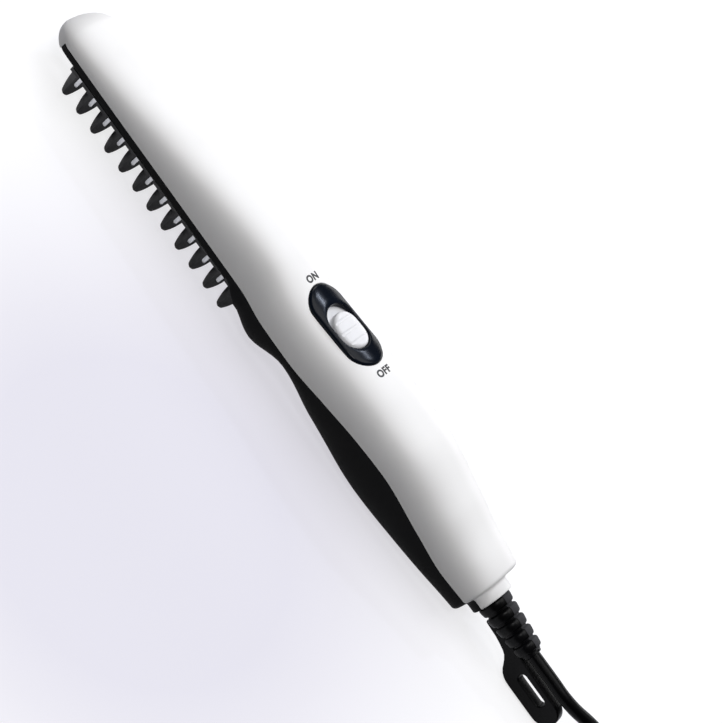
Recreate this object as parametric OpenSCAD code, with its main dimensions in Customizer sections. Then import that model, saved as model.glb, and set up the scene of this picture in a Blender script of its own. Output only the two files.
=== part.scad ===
// Beard straightener: a heated comb wand with a slide switch, a corded tail and a hang loop.
// +X runs from the nose of the comb to the cord, +Z is up, the switch is on top and the teeth
// point down. The origin is on the standing surface, under the middle of the wand.

/* [Comb] */
// Number of teeth in each of the two rows
tooth_count = 12; // [6:1:16]
// Distance from one tooth to the next
tooth_pitch = 7.9; // [6.5:0.01:10]
// Reach of a tooth below its rail
tooth_len = 11.1; // [7:0.1:14]
// Width of a tooth at its root, along the wand
tooth_w = 6.1; // [4.6:0.1:6.6]
// Distance from the nose to the middle of the first tooth
comb_x = 17.65; // [16:0.1:24]
// Outer half width of the comb guard
guard_half_w = 9.6; // [8.6:0.1:9.8]
// Width of each guard rail, from the middle channel outwards
rail_w = 4; // [3:0.1:4.6]
// Depth of the guard's underside below the housing seam
guard_drop = 6.9; // [5:0.1:8]
// Thickness of a heater fin
fin_t = 1.4; // [0.8:0.1:1.6]
// Reach of the fins below the guard's underside
fin_drop = 3.6; // [1.5:0.1:5]
// Thickness of the heater plate
plate_t = 1.5; // [1:0.1:2]

/* [Housing] */
// Wall of both housing halves
wall = 1.8; // [1.2:0.1:2.4]
// Gap between the two halves along the seam
seam_gap = 0.2; // [0.1:0.05:0.4]
// Length of the rounded nose
nose_len = 10; // [9:0.5:12]
// Distance from the nose at which the lower half begins
chin_x = 7.2; // [6:0.1:8]
// Depth of the rim below the seam, beside the comb
rim_depth = 3.2; // [2.4:0.1:4]
// Half width of the housing behind the nose
brow_half_w = 11.5; // [11.3:0.1:13]
// Half width at the back of the comb
head_half_w = 12.2; // [11.8:0.1:15]
// Half width of the grip
grip_half_w = 14.7; // [13.8:0.1:18]
// Half width at the tail
tail_half_w = 12.3; // [11.6:0.1:16]
// Crown height over the seam behind the nose
brow_crown = 7; // [6.6:0.1:9]
// Crown height over the seam at the back of the comb
head_crown = 17.5; // [14:0.1:19]
// Crown height over the seam under the palm
palm_crown = 14.9; // [14:0.1:18]
// Crown height over the seam at the tail
tail_crown = 11.7; // [11:0.1:14]
// Rise of the seam under the palm
palm_lift = 4.9; // [0:0.1:6]
// Fall of the seam at the tail
tail_fall = 1.8; // [0:0.1:3]
// Depth of the belly behind the comb, below the seam
belly_depth = 14; // [11:0.1:16]
// Depth of the waist between belly and palm, below the seam
neck_depth = 7.2; // [7:0.1:10]
// Depth of the tail below the seam
tail_depth = 10.8; // [10:0.1:13]
// Length of the belly, from the comb to its deepest point
belly_len = 10.7; // [9.5:0.1:16]
// Length from the belly's deepest point to the waist
neck_len = 14.4; // [12:0.1:20]
// Length from the waist to the deepest point of the palm
palm_len = 47.5; // [44:0.5:60]
// Length from the palm to the tail
tail_len = 50.4; // [48:0.1:65]
// Outer radius of the collar round the cord boot
collar_r = 7.7; // [7.4:0.1:9]
// Length of the collar
collar_len = 4.8; // [3:0.1:6]

/* [Switch] */
// Length of the switch bezel
bezel_len = 32.4; // [31:0.1:36]
// Width of the switch bezel
bezel_w = 15.4; // [14.8:0.1:18]
// Height of the bezel over the crown
bezel_proud = 1.5; // [1:0.1:2.5]
// Length of the window in the bezel
window_len = 17.4; // [17:0.1:19]
// Width of the window in the bezel
window_w = 12; // [11.5:0.1:13.4]
// Travel of the slider
slide_travel = 3; // [2:0.1:3.4]
// Width of the slider's cap
cap_w = 10.9; // [10:0.1:11.2]
// Distance from the waist to the middle of the switch
switch_back = 1.3; // [0:0.1:4]

/* [Cord] */
// Diameter of the mains cord
cord_d = 4.8; // [4:0.1:5.2]
// Length of the ribbed cord boot
boot_len = 21.7; // [18:0.2:30]
// Radius of the boot where it leaves the collar
boot_r = 6.1; // [5.4:0.1:6.4]
// Radius of the boot at its cord end
boot_end_r = 4.5; // [4:0.1:5]
// Number of ribs on the boot
boot_ribs = 5; // [4:1:8]
// Turn of the hang loop about the cord, away from straight down
loop_turn = 6; // [0:1:30]
// Thickness of the hang loop
loop_t = 3.6; // [2:0.1:4.6]
// Number of folded layers in the cord's hank, one turn each
hank_layers = 4; // [2:2:6]
// Length of the straight runs of the hank
hank_run = 110; // [80:1:120]

/* [Hidden] */
$fn = 48;

// Clearances between pieces that fit together
fit = 0.15;
slide_gap = 0.3;
touch = 0.05;

// Stations along the wand, measured from the nose
comb_len = tooth_pitch * (tooth_count - 1);
comb_end = comb_x + comb_len + tooth_w / 2 + 0.2;
guard_x0 = comb_x - tooth_w / 2 - 0.6;
guard_x1 = comb_end + 0.6;
belly_x = guard_x1 + belly_len;
neck_x = belly_x + neck_len;
palm_x = neck_x + palm_len;
tail_x = palm_x + tail_len;
collar_x = tail_x + collar_len;
exit_x = collar_x + boot_len;
loop_len = 25.2;
loop_x0 = exit_x - 0.9;
wand_len = loop_x0 + loop_len;
switch_x = neck_x + switch_back;

// Heights over the standing surface
seam_h = guard_drop + tooth_len;
split_h = seam_h - tail_fall;
axis_h = split_h - 0.6;
palm_depth = seam_h + palm_lift;

// Smooth lines along the wand, as [distance from the nose, size]
width_line = [
    [0, brow_half_w - 0.8], [nose_len, brow_half_w], [comb_end - 3, head_half_w],
    [belly_x, (head_half_w + 3 * grip_half_w) / 4], [neck_x + 18, grip_half_w],
    [palm_x, grip_half_w], [palm_x + 22, grip_half_w - 0.7], [tail_x, tail_half_w]
];
crown_line = [
    [0, brow_crown - 0.2], [nose_len, brow_crown], [(nose_len + comb_end) / 2, 12.3],
    [comb_end - 3, head_crown], [belly_x + 4, head_crown - 0.8], [neck_x + 8, head_crown - 0.6],
    [palm_x, palm_crown], [palm_x + 23, palm_crown - 0.4], [tail_x - 11, tail_crown + 2],
    [tail_x, tail_crown]
];
lift_line = [
    [0, 0], [belly_x, -0.2], [neck_x, 0], [neck_x + 18, 0.47 * palm_lift],
    [palm_x - 13, 0.87 * palm_lift], [palm_x, palm_lift], [palm_x + 23, 0.2 * palm_lift],
    [tail_x - 11, -tail_fall], [tail_x, -tail_fall]
];
keel_line = [
    [0, rim_depth], [comb_end - 8, rim_depth], [comb_end + 0.5, 0.72 * belly_depth],
    [belly_x, belly_depth], [neck_x, neck_depth], [neck_x + 18, 0.66 * palm_depth],
    [palm_x, palm_depth], [palm_x + 23, 0.745 * palm_depth], [tail_x - 11, tail_depth + 1.1],
    [tail_x, tail_depth]
];
bulge_line = [[0, 12], [comb_end - 8, 12], [comb_end + 3, 3.2], [neck_x, 2.8], [tail_x, 2.8]];
crown_bulge = 2.7;
tail_round = 1.4;

function rise(p, i) = (p[i + 1][1] - p[i][1]) / (p[i + 1][0] - p[i][0]);
function tilt(p, i) =
    i == 0 ? rise(p, 0)
    : i == len(p) - 1 ? rise(p, i - 1)
    : rise(p, i - 1) * rise(p, i) <= 0 ? 0
    : 2 * rise(p, i - 1) * rise(p, i) / (rise(p, i - 1) + rise(p, i));
function span(p, x, i = 0) = i >= len(p) - 2 || x <= p[i + 1][0] ? i : span(p, x, i + 1);
function along(p, x) =
    let (q = max(p[0][0], min(x, p[len(p) - 1][0])), i = span(p, q), h = p[i + 1][0] - p[i][0])
    let (t = (q - p[i][0]) / h, s = 1 - t)
    p[i][1] * (1 + 2 * t) * s * s + p[i + 1][1] * (1 + 2 * s) * t * t
    + h * (tilt(p, i) * t * s * s - tilt(p, i + 1) * s * t * t);

// The nose is a quarter dome that rises from the rim's underside
function dome(x) = x >= nose_len ? 1 : sqrt(max(0, 1 - pow(1 - x / nose_len, 2)));
function end_round(x) =
    x <= tail_x - tail_round ? 0
    : tail_round - sqrt(max(0, pow(tail_round, 2) - pow(x - tail_x + tail_round, 2)));
function half_w(x) = along(width_line, x) * pow(dome(x), 1) - end_round(x);
function seam_z(x) = seam_h + along(lift_line, x);
function chin_z() = seam_h - rim_depth;
function top_z(x) =
    chin_z() + (seam_z(x) + along(crown_line, x) - chin_z()) * pow(dome(x), 1.35) - end_round(x);
function keel_z(x) = seam_z(x) - along(keel_line, x) + end_round(x);

// One arch of the housing, from the near seam over the crown or under the keel
arch_steps = 18;
function power(v, n) = sign(v) * pow(abs(v), n);
function arch(x, w, base, top, bulge) = [
    for (j = [0 : arch_steps])
        let (a = 180 * j / arch_steps)
        [x, -w * power(cos(a), 2 / bulge), base + (top - base) * pow(sin(a), 2 / bulge)]
];

// A bowl-like shell from matching outer and inner arches, each a list of arches
module shell_between(outer, inner, flip) {
    m = len(outer) - 1;
    n = arch_steps;
    w = n + 1;
    o = m * w + w;
    pts = concat([for (a = outer) each a], [for (a = inner) each a]);
    skin = [
        for (i = [0 : m - 1], j = [0 : n - 1])
            let (a = i * w + j, b = a + 1, c = a + w + 1, d = a + w)
            each [[a, b, c], [a, c, d]]
    ];
    lining = [
        for (i = [0 : m - 1], j = [0 : n - 1])
            let (a = o + i * w + j, b = a + 1, c = a + w + 1, d = a + w)
            each [[a, c, b], [a, d, c]]
    ];
    near_rim = [
        for (i = [0 : m - 1])
            let (a = i * w, d = a + w)
            each [[a, d, o + d], [a, o + d, o + a]]
    ];
    far_rim = [
        for (i = [0 : m - 1])
            let (a = i * w + n, d = a + w)
            each [[a, o + d, d], [a, o + a, o + d]]
    ];
    front = concat([[for (j = [n : -1 : 0]) j]], [[for (j = [0 : n]) o + j]], [[0, o, o + n], [0, o + n, n]]);
    e = m * w;
    back = concat(
        [[for (j = [0 : n]) e + j]], [[for (j = [n : -1 : 0]) o + e + j]],
        [[e, o + e + n, o + e], [e, e + n, o + e + n]]
    );
    faces = concat(skin, lining, near_rim, far_rim, front, back);
    polyhedron(pts, [for (f = faces) flip ? [for (k = [len(f) - 1 : -1 : 0]) f[k]] : f]);
}

// Places of the arches, denser at the nose, the belly and the tail
top_xs = concat(
    [0.05, 0.3, 0.8, 1.6, 2.7, 4, 5.4, chin_x - 0.15, chin_x + 0.05, (chin_x + nose_len) / 2, nose_len + 0.2],
    [for (k = [1 : 6]) nose_len + k * (comb_end - nose_len - 8) / 6],
    [for (k = [0 : 24]) comb_end - 4 + k * (tail_x - comb_end) / 24.6],
    [tail_x - 1.4, tail_x - 0.7, tail_x - 0.2, tail_x]
);
low_xs = concat(
    [chin_x + 0.1, chin_x + 0.7, (chin_x + nose_len) / 2, nose_len + 0.2],
    [for (k = [1 : 6]) nose_len + k * (comb_end - nose_len - 12) / 6],
    [for (k = [0 : 28]) comb_end - 9 + k * (tail_x - comb_end + 5) / 28.6],
    [tail_x - 1.4, tail_x - 0.7, tail_x - 0.2, tail_x]
);

// Inner arches start behind the front wall and stop before the end wall, and match outside these
function within(x, k, last, x0) =
    x < x0 ? x0 + 0.02 * k : x > tail_x - wall - 0.5 ? tail_x - wall - 0.02 * (last - k) : x;
function top_base(x) = x < chin_x ? chin_z() : seam_z(x) + seam_gap / 2;

module top_shell_blank() {
    last = len(top_xs) - 1;
    outer = [for (x = top_xs) arch(x, half_w(x), top_base(x), top_z(x), crown_bulge)];
    inner = [
        for (k = [0 : last])
            let (x = within(top_xs[k], k, last, chin_x - 0.4))
            arch(x, half_w(x) - wall, top_base(top_xs[k]), top_z(x) - wall, crown_bulge)
    ];
    shell_between(outer, inner, false);
}

module bottom_shell_blank() {
    last = len(low_xs) - 1;
    rim = -seam_gap / 2;
    outer = [for (x = low_xs) arch(x, half_w(x), seam_z(x) + rim, keel_z(x), along(bulge_line, x))];
    inner = [
        for (k = [0 : last])
            let (x = within(low_xs[k], k, last, chin_x + 0.1 + wall))
            arch(x, half_w(x) - wall, seam_z(x) + rim, keel_z(x) + wall, along(bulge_line, x))
    ];
    shell_between(outer, inner, true);
}

// Everything below is placed from the nose and moved so that the wand's middle is at x = 0
module placed() {
    translate([-wand_len / 2, 0, 0]) children();
}

// The switch lies on the crown, tilted with it
switch_tilt = atan((top_z(switch_x + 12) - top_z(switch_x - 12)) / 24);
module on_crown(x = 0, y = 0, z = 0) {
    translate([switch_x, 0, top_z(switch_x)]) rotate([0, -switch_tilt, 0]) translate([x, y, z]) children();
}

module slot_shape(length, width) {
    square([length - width, width], center = true);
    for (s = [-1, 1])
        translate([s * (length - width) / 2, 0]) circle(d = width);
}

module slot_block(length, width, z0, z1) {
    translate([0, 0, z0]) linear_extrude(z1 - z0) slot_shape(length, width);
}

// Screw places: one housing screw in the belly, one in the palm and one near the tail
screw_r = 1.45;
head_r = 2.8;
post_r = 4.3;
boss_r = 2.7;
housing_screw_xs = [guard_x1 + 3.7, palm_x - 6, tail_x - 26];
ear_t = 1.2;
ear_z = seam_h - 0.85;
board_hole = 18.6;
board_drop = 11.2;
clamp_x = tail_x - 8.5;
clamp_y = 6.8;

// Fitted on the seam: the collar's two halves share one bore for the boot
boot_neck_r = 4.9;
module collar_ring() {
    translate([tail_x, 0, axis_h]) rotate([0, 90, 0]) rotate_extrude() difference() {
        union() {
            translate([boot_neck_r + fit, -wall / 2])
                square([collar_r - boot_neck_r - fit, collar_len + wall / 2]);
            translate([collar_r - 0.1, -wall / 2]) square([1.1, 1 + wall / 2]);
        }
        translate([collar_r + 1, 1]) circle(r = 1);
    }
}

module half_space(up) {
    translate([tail_x - 20, -30, up ? split_h + seam_gap / 2 : split_h - seam_gap / 2 - 60])
        cube([60, 60, 60]);
}

module boot_bore() {
    translate([tail_x - wall - 2, 0, axis_h]) rotate([0, 90, 0]) cylinder(r = boot_neck_r + fit, h = 12);
}

hole_len = 27;
hole_x = 1.3;
hole_w = 15.2;
pocket_z = -1.2;

module top_shell() color("white") placed() {
    difference() {
        union() {
            top_shell_blank();
            intersection() {
                collar_ring();
                half_space(true);
            }
            on_crown() slot_block(bezel_len + 2, hole_w + 1.4, -3.6, -1.9);
            for (s = [-1, 1])
                on_crown(s * board_hole, 0, -board_drop) cylinder(r = boss_r, h = board_drop - 0.9);
            for (x = housing_screw_xs)
                translate([x, 0, seam_z(x) + 0.6])
                    cylinder(r = boss_r, h = top_z(x) - seam_z(x) - 0.6 - wall / 2);
        }
        on_crown() slot_block(bezel_len + 2 * fit, bezel_w + 2 * fit, pocket_z, 6);
        on_crown() translate([hole_x, 0, 0]) slot_block(hole_len, hole_w, -8, 6);
        for (s = [-1, 1])
            on_crown(s * board_hole, 0, -board_drop - 1) cylinder(r = 0.9, h = 8);
        for (x = housing_screw_xs)
            translate([x, 0, seam_z(x) - 1]) cylinder(r = screw_r - 0.1, h = 9.6);
        boot_bore();
    }
}

// A wall closes the belly towards the comb
module bulkhead(x) {
    face = arch(x, half_w(x) - wall / 2, ear_z - touch, keel_z(x) + wall / 2, along(bulge_line, x));
    translate([x, 0, 0]) rotate([90, 0, 90]) linear_extrude(wall) polygon([for (p = face) [p[1], p[2]]]);
}

// The head of each housing screw sits in a deep round recess, in a post that meets the boss above
function screw_seat(x) = seam_z(x) - 5.4;
module bottom_shell() color("#1d1d20") placed() {
    difference() {
        union() {
            bottom_shell_blank();
            intersection() {
                collar_ring();
                half_space(false);
            }
            for (x = housing_screw_xs) {
                top = x == housing_screw_xs[0] ? ear_z - touch : seam_z(x) + 0.3;
                translate([x, 0, keel_z(x) + wall / 2]) cylinder(r = post_r, h = top - keel_z(x) - wall / 2);
            }
            bulkhead(guard_x1 + fit);
            for (s = [-1, 1])
                translate([clamp_x, s * clamp_y, keel_z(clamp_x) + 1.4])
                    cylinder(r = 2.4, h = axis_h + 0.4 - keel_z(clamp_x) - 1.4);
            translate([clamp_x - 2, -3, keel_z(clamp_x) + wall / 2])
                cube([4, 6, axis_h - cord_d / 2 - touch - keel_z(clamp_x) - wall / 2]);
        }
        translate([guard_x0 - fit, -guard_half_w - fit, seam_h - rim_depth - 20])
            cube([guard_x1 - guard_x0 + 2 * fit, 2 * (guard_half_w + fit), 30]);
        for (x = housing_screw_xs) {
            translate([x, 0, keel_z(x) - 5]) cylinder(r = head_r + 0.3, h = screw_seat(x) - keel_z(x) + 5);
            translate([x, 0, keel_z(x)]) cylinder(r = screw_r + 0.2, h = 40);
        }
        for (s = [-1, 1])
            translate([clamp_x, s * clamp_y, axis_h - 6]) cylinder(r = 0.9, h = 12);
        boot_bore();
    }
}

// A tooth is where three outlines meet: its pointed side view, its tapering end view and its
// hexagon-like plan with a flat arris to the outside
tip_r = 1.5;
tip_z = tooth_len - tip_r;
arch_r = (pow(tooth_w / 2, 2) + pow(tip_z, 2) - pow(tip_r, 2)) / (tooth_w - 2 * tip_r);
module tooth() {
    y0 = guard_half_w - rail_w;
    y1 = guard_half_w;
    intersection() {
        rotate([90, 0, 0]) translate([0, 0, -y1 - 1]) linear_extrude(rail_w + 2) union() {
            intersection() {
                translate([arch_r - tooth_w / 2, 0]) circle(r = arch_r, $fn = 120);
                translate([tooth_w / 2 - arch_r, 0]) circle(r = arch_r, $fn = 120);
                translate([-tooth_w, -tip_z - 0.2]) square([2 * tooth_w, tip_z + 1.2]);
            }
            translate([0, -tip_z]) circle(r = tip_r);
        }
        translate([-tooth_w, 0, 0]) rotate([90, 0, 90]) linear_extrude(2 * tooth_w)
            polygon([
                [y0, 1], [y1 - 0.35, 1], [y1 - 0.35, 0], [y1 - 1.1, -tooth_len + 0.8],
                [y1 - 1.7, -tooth_len - 0.1], [y0 + 2.1, -tooth_len - 0.1],
                [y0 + 1.4, -tooth_len + 0.8], [y0, 0]
            ]);
        translate([0, 0, -tooth_len - 1]) linear_extrude(tooth_len + 3)
            polygon([
                [-tooth_w, y0 - 1], [tooth_w, y0 - 1], [tooth_w, y1 - 3.2],
                [0.75, y1], [-0.75, y1], [-tooth_w, y1 - 3.2]
            ]);
    }
}

// Fins stand on the cord side of every tooth but the last
fin_shift = 1.55;
function tooth_x(i) = comb_x + i * tooth_pitch;
rail_t = 2.5;
guard_z = seam_h - guard_drop;
rail_top = guard_z + rail_t;
side_wall = 1.2;

module comb_guard() color("#19191b") placed() {
    difference() {
        union() {
            translate([guard_x0, -guard_half_w, guard_z])
                cube([guard_x1 - guard_x0, 2 * guard_half_w, rail_t]);
            for (s = [-1, 1])
                translate([guard_x0, s * (guard_half_w - side_wall / 2) - side_wall / 2, guard_z])
                    cube([guard_x1 - guard_x0, side_wall, guard_drop - 0.6]);
            for (x = [guard_x0, guard_x1 - side_wall])
                translate([x, -guard_half_w, guard_z]) cube([side_wall, 2 * guard_half_w, guard_drop - 0.6]);
            translate([guard_x0 - 3.4, -6, seam_h - rim_depth + wall + touch]) cube([4, 12, 0.8]);
            translate([guard_x1 - side_wall, -2.5, ear_z])
                cube([housing_screw_xs[0] - guard_x1 + side_wall, 5, ear_t]);
            translate([housing_screw_xs[0], 0, ear_z]) cylinder(r = 3.5, h = ear_t);
            for (i = [0 : tooth_count - 1], s = [0, 1])
                translate([tooth_x(i), 0, guard_z]) mirror([0, s, 0]) tooth();
        }
        translate([housing_screw_xs[0], 0, ear_z - 1]) cylinder(r = screw_r + 0.2, h = 4);
        translate([comb_x - 2.4, rail_w - guard_half_w, guard_z - 1])
            cube([comb_len + 4.8, 2 * (guard_half_w - rail_w), rail_t + 2]);
        for (i = [0 : tooth_count - 2])
            translate([tooth_x(i) + fin_shift - fin_t / 2 - fit, -guard_half_w - 1, guard_z - fin_drop - fit])
                cube([fin_t + 2 * fit, 2 * guard_half_w + 2, fin_drop + fit + rail_t + 0.9]);
    }
}

// Heater plate: a flat plate on the rails, a pad through the window and the cross fins
plate_z = rail_top + touch;
plate_x0 = guard_x0 + side_wall + 0.3;
plate_x1 = guard_x1 - side_wall - 0.3;
pad_half_w = guard_half_w - rail_w - 0.3;
fin_half_w = guard_half_w - 0.1;
module heater_plate() color("#d9dade") placed() {
    translate([plate_x0, 0.4 + side_wall - guard_half_w, plate_z])
        cube([plate_x1 - plate_x0, 2 * (guard_half_w - side_wall - 0.4), plate_t]);
    translate([comb_x - 2.1, -pad_half_w, guard_z + 0.3])
        cube([comb_len + 4.2, 2 * pad_half_w, plate_z - guard_z - 0.2]);
    for (i = [0 : tooth_count - 2])
        translate([tooth_x(i) + fin_shift - fin_t / 2, 0, guard_z - fin_drop])
            rotate([90, 0, 90]) linear_extrude(fin_t) {
                translate([-fin_half_w, 1.2]) square([2 * fin_half_w, plate_z - guard_z + fin_drop - 1.1]);
                translate([1.2 - fin_half_w, 0]) square([2 * (fin_half_w - 1.2), 1.3]);
                for (s = [-1, 1])
                    translate([s * (fin_half_w - 1.2), 1.2]) circle(r = 1.2);
            }
}

// The heating stack: a film sleeve round two contact strips with ceramic stones between them
stack_z = plate_z + plate_t + touch;
film_t = 0.2;
strip_t = 0.3;
stone_t = 2.2;
stack_x0 = comb_x + 3.8;
stack_len = comb_len - 9;
stone_count = 3;
film_h = 2 * (film_t + strip_t) + stone_t + 4 * touch;
module heater_film() color("#c98a2b") placed() {
    translate([stack_x0, 0, stack_z]) difference() {
        translate([0, -5.6, 0]) cube([stack_len, 11.2, film_h]);
        translate([-1, -5.6 + film_t, film_t]) cube([stack_len + 2, 11.2 - 2 * film_t, film_h - 2 * film_t]);
    }
}

lug_x = plate_x1 - 0.4;
lug_z = seam_h + 1.2;
strip_z0 = stack_z + film_t + touch;
strip_z1 = strip_z0 + strip_t + stone_t + 2 * touch;
module heater_electrodes() color("#b8a23a") placed() {
    for (k = [0, 1])
        translate([stack_x0 + 1, -4.6, k == 0 ? strip_z0 : strip_z1]) {
            cube([stack_len - 2, 9.2, strip_t]);
            translate([stack_len - 3, k == 0 ? 0.2 : 7, 0]) {
                cube([lug_x - stack_x0 - stack_len + 2, 2, strip_t]);
                translate([lug_x - stack_x0 - stack_len + 2 - strip_t, 0, 0])
                    cube([strip_t, 2, lug_z + 1 - (k == 0 ? strip_z0 : strip_z1)]);
            }
        }
}

module ptc_elements() color("#8f8f86") placed() {
    pitch = (stack_len - 4) / stone_count;
    for (k = [0 : stone_count - 1])
        translate([stack_x0 + 2 + k * pitch, -4.2, strip_z0 + strip_t + touch])
            cube([pitch - 1, 8.4, stone_t]);
}

// A sheet bracket presses the stack on the plate, held by a screw at each end
clamp_t = 0.8;
clamp_z = stack_z + film_h + touch;
foot_xs = [stack_x0 - 4.2, stack_x0 + stack_len + 4.2];
foot_y = 0;
module heater_clamp() color("#a9adb2") placed() {
    difference() {
        union() {
            translate([stack_x0 + 2, -5, clamp_z]) cube([stack_len - 4, 10, clamp_t]);
            for (x = foot_xs) {
                inner_x = x < stack_x0 ? stack_x0 + 2.4 : stack_x0 + stack_len - 2.4;
                leg_x = x < stack_x0 ? stack_x0 - 1.4 : stack_x0 + stack_len + 0.6;
                translate([min(leg_x, inner_x), foot_y - 1.6, clamp_z])
                    cube([abs(inner_x - leg_x) + (x < stack_x0 ? 0 : clamp_t), 3.2, clamp_t]);
                translate([leg_x, foot_y - 1.6, stack_z]) cube([clamp_t, 3.2, clamp_z - stack_z + clamp_t]);
                translate([min(x - 2, leg_x), foot_y - 1.6, stack_z])
                    cube([abs(x - leg_x) + 2, 3.2, clamp_t]);
            }
        }
        for (x = foot_xs)
            translate([x, foot_y, stack_z - 1]) cylinder(r = 1.1, h = 3);
    }
}

module pan_screw(r, length, head, head_h) {
    difference() {
        union() {
            cylinder(r = head, h = head_h);
            translate([0, 0, -length]) cylinder(r = r, h = length + 0.1);
        }
        for (a = [0, 90])
            rotate([0, 0, a]) translate([-head * 0.6, -0.25, head_h - 0.6]) cube([head * 1.2, 0.5, 1]);
    }
}

module heater_screws() color("silver") placed() {
    for (x = foot_xs)
        translate([x, foot_y, stack_z + clamp_t + touch]) pan_screw(0.95, clamp_t + 0.08, 1.5, 1);
}

// A mica sheet keeps the heat off the top shell, on posts of the guard's end walls
shield_z = clamp_z + clamp_t + 1.2;
shield_x0 = stack_x0 + 6;
module heat_shield() color("#cbb89a") placed() {
    translate([shield_x0, -6.6, shield_z]) cube([stack_len - 24, 13.2, 0.5]);
    for (x = [shield_x0 + 4, shield_x0 + stack_len - 31], s = [-1, 1])
        translate([x, s * 4 - 1, clamp_z + clamp_t + touch]) cube([3, 2, shield_z - clamp_z - clamp_t]);
}

// Thermal fuse: a small can lying on the clamp's rear end
fuse_r = 1.8;
fuse_x = stack_x0 + stack_len - 12;
fuse_z = clamp_z + clamp_t + fuse_r + touch;
module thermal_fuse() color("#c9b27a") placed() {
    translate([fuse_x, 2, fuse_z]) rotate([0, 90, 0]) {
        cylinder(r = fuse_r, h = 9);
        translate([0, 0, 8.9]) cylinder(r1 = fuse_r, r2 = 0.7, h = 1.4);
        translate([0, 0, 10]) cylinder(r = 0.4, h = 6);
    }
    tube(smooth([
        [fuse_x + 0.4, 2, fuse_z], [fuse_x - 1, 2, fuse_z], [fuse_x - 2.6, 3.6, fuse_z - 0.2],
        [fuse_x - 1.4, 5.8, fuse_z - 0.8], [fuse_x + 3, 6.4, fuse_z - 1.2], [fuse_x + 9, 6, lug_z + 0.2],
        [lug_x - 5, 4, lug_z], [lug_x - 2, 3.4, lug_z], [lug_x - strip_t - touch, 3.4, lug_z]
    ], 2), 0.5, 6);
}

// Switch: a crowned bezel, a slider with a wide skirt below it, and the switch behind
bezel_crown_r = 26;
window_x = 0.9;
module switch_bezel() color("#0c0d10") placed() on_crown() {
    difference() {
        intersection() {
            slot_block(bezel_len, bezel_w, pocket_z + touch, 6);
            translate([-30, 0, bezel_proud - bezel_crown_r]) rotate([0, 90, 0])
                cylinder(r = bezel_crown_r, h = 60, $fn = 160);
        }
        translate([window_x, 0, 0]) slot_block(window_len, window_w, -4, 6);
    }
}

// At rest the slider is at the cord end of its window, which is OFF
cap_len = window_len - slide_travel - 2 * 0.2;
cap_x = window_x + (window_len - cap_len) / 2 - 0.2;
cap_top = 1.9;
skirt_top = pocket_z + touch - slide_gap;
skirt_t = 1.1;
stem_w = 3.2;
module slide_knob() color("#f2f2f4") placed() on_crown(cap_x) {
    difference() {
        union() {
            intersection() {
                slot_block(cap_len, cap_w, skirt_top - 0.1, 6);
                translate([-20, 0, cap_top - 18]) rotate([0, 90, 0]) cylinder(r = 18, h = 40, $fn = 160);
            }
            slot_block(cap_len + 7.6, hole_w - 0.9, skirt_top - skirt_t, skirt_top);
            translate([0, 0, skirt_top - skirt_t - 1.4]) slot_block(9, 7, 0, 1.5);
        }
        for (k = [-1, 0, 1])
            translate([k * 4.1, 0, cap_top + 0.15]) rotate([90, 0, 0])
                cylinder(r = 0.55, h = 20, center = true);
        translate([-stem_w / 2 - 0.1, -stem_w / 2 - 0.1, -6]) cube([stem_w + 0.2, stem_w + 0.2, 5]);
    }
}

body_top = -5.2;
body_h = 5.4;
module switch_actuator() color("#ececec") placed() on_crown(cap_x) {
    translate([-stem_w / 2, -stem_w / 2, body_top - 0.6]) cube([stem_w, stem_w, -1.2 - body_top]);
    translate([-4.6, -2, body_top - 2.1]) cube([9.2, 4, 1.6]);
}

module switch_body() color("#303236") placed() on_crown(cap_x - slide_travel / 2) {
    difference() {
        translate([-10.5, -4.8, body_top - body_h]) cube([21, 9.6, body_h]);
        translate([-6.6, -2.4, body_top - 2.5]) cube([13.2, 4.8, 2.1]);
        translate([-4, -2, body_top - 1]) cube([8, 4, 2]);
    }
}

board_t = 1.6;
board_top = -board_drop - touch;
module switch_terminals() color("#c8a24a") placed() on_crown(cap_x - slide_travel / 2) {
    for (k = [-1, 0, 1])
        translate([k * 5 - 0.4, -1.2, board_top - board_t - 3])
            cube([0.8, 2.4, body_top - body_h - touch - board_top + board_t + 3]);
}

module switch_board() color("#2f6b45") placed() on_crown() {
    difference() {
        translate([-20.6, -6.2, board_top - board_t]) cube([42, 12.4, board_t]);
        for (s = [-1, 1])
            translate([s * board_hole, 0, board_top - board_t - 1]) cylinder(r = 1.3, h = 4);
        for (k = [-1, 0, 1])
            translate([cap_x - slide_travel / 2 + k * 5 - 0.5, -1.3, board_top - board_t - 1])
                cube([1, 2.6, 4]);
    }
    for (s = [-1, 1])
        translate([cap_x - slide_travel / 2 + s * 8 - 1, -4, board_top])
            cube([2, 8, body_top - body_h - board_top - touch]);
}

module board_screws() color("silver") placed() {
    for (s = [-1, 1])
        on_crown(s * board_hole, 0, board_top - board_t - touch) rotate([180, 0, 0])
            pan_screw(0.85, 6, 2, 1.2);
}

// Round tube along points, with a ring square to the path at each one
function unit(v) = v / norm(v);
function heading(p, i) =
    i == 0 ? unit(p[1] - p[0])
    : i == len(p) - 1 ? unit(p[i] - p[i - 1])
    : unit(unit(p[i] - p[i - 1]) + unit(p[i + 1] - p[i]));
function ring_at(p, i, r, sides) =
    let (t = heading(p, i), u = unit(cross([0, 0, 1], t)), v = cross(t, u))
    [for (k = [0 : sides - 1]) p[i] + r * (cos(360 * k / sides) * u + sin(360 * k / sides) * v)];
module tube(p, r, sides) {
    n = len(p);
    rings = [for (i = [0 : n - 1]) each ring_at(p, i, r, sides)];
    walls = [
        for (i = [0 : n - 2], k = [0 : sides - 1])
            let (a = i * sides + k, b = i * sides + (k + 1) % sides)
            each [[a, a + sides, b + sides], [a, b + sides, b]]
    ];
    start = [for (k = [0 : sides - 1]) k];
    end = [for (k = [sides - 1 : -1 : 0]) (n - 1) * sides + k];
    polyhedron(rings, concat([start], walls, [end]));
}

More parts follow.
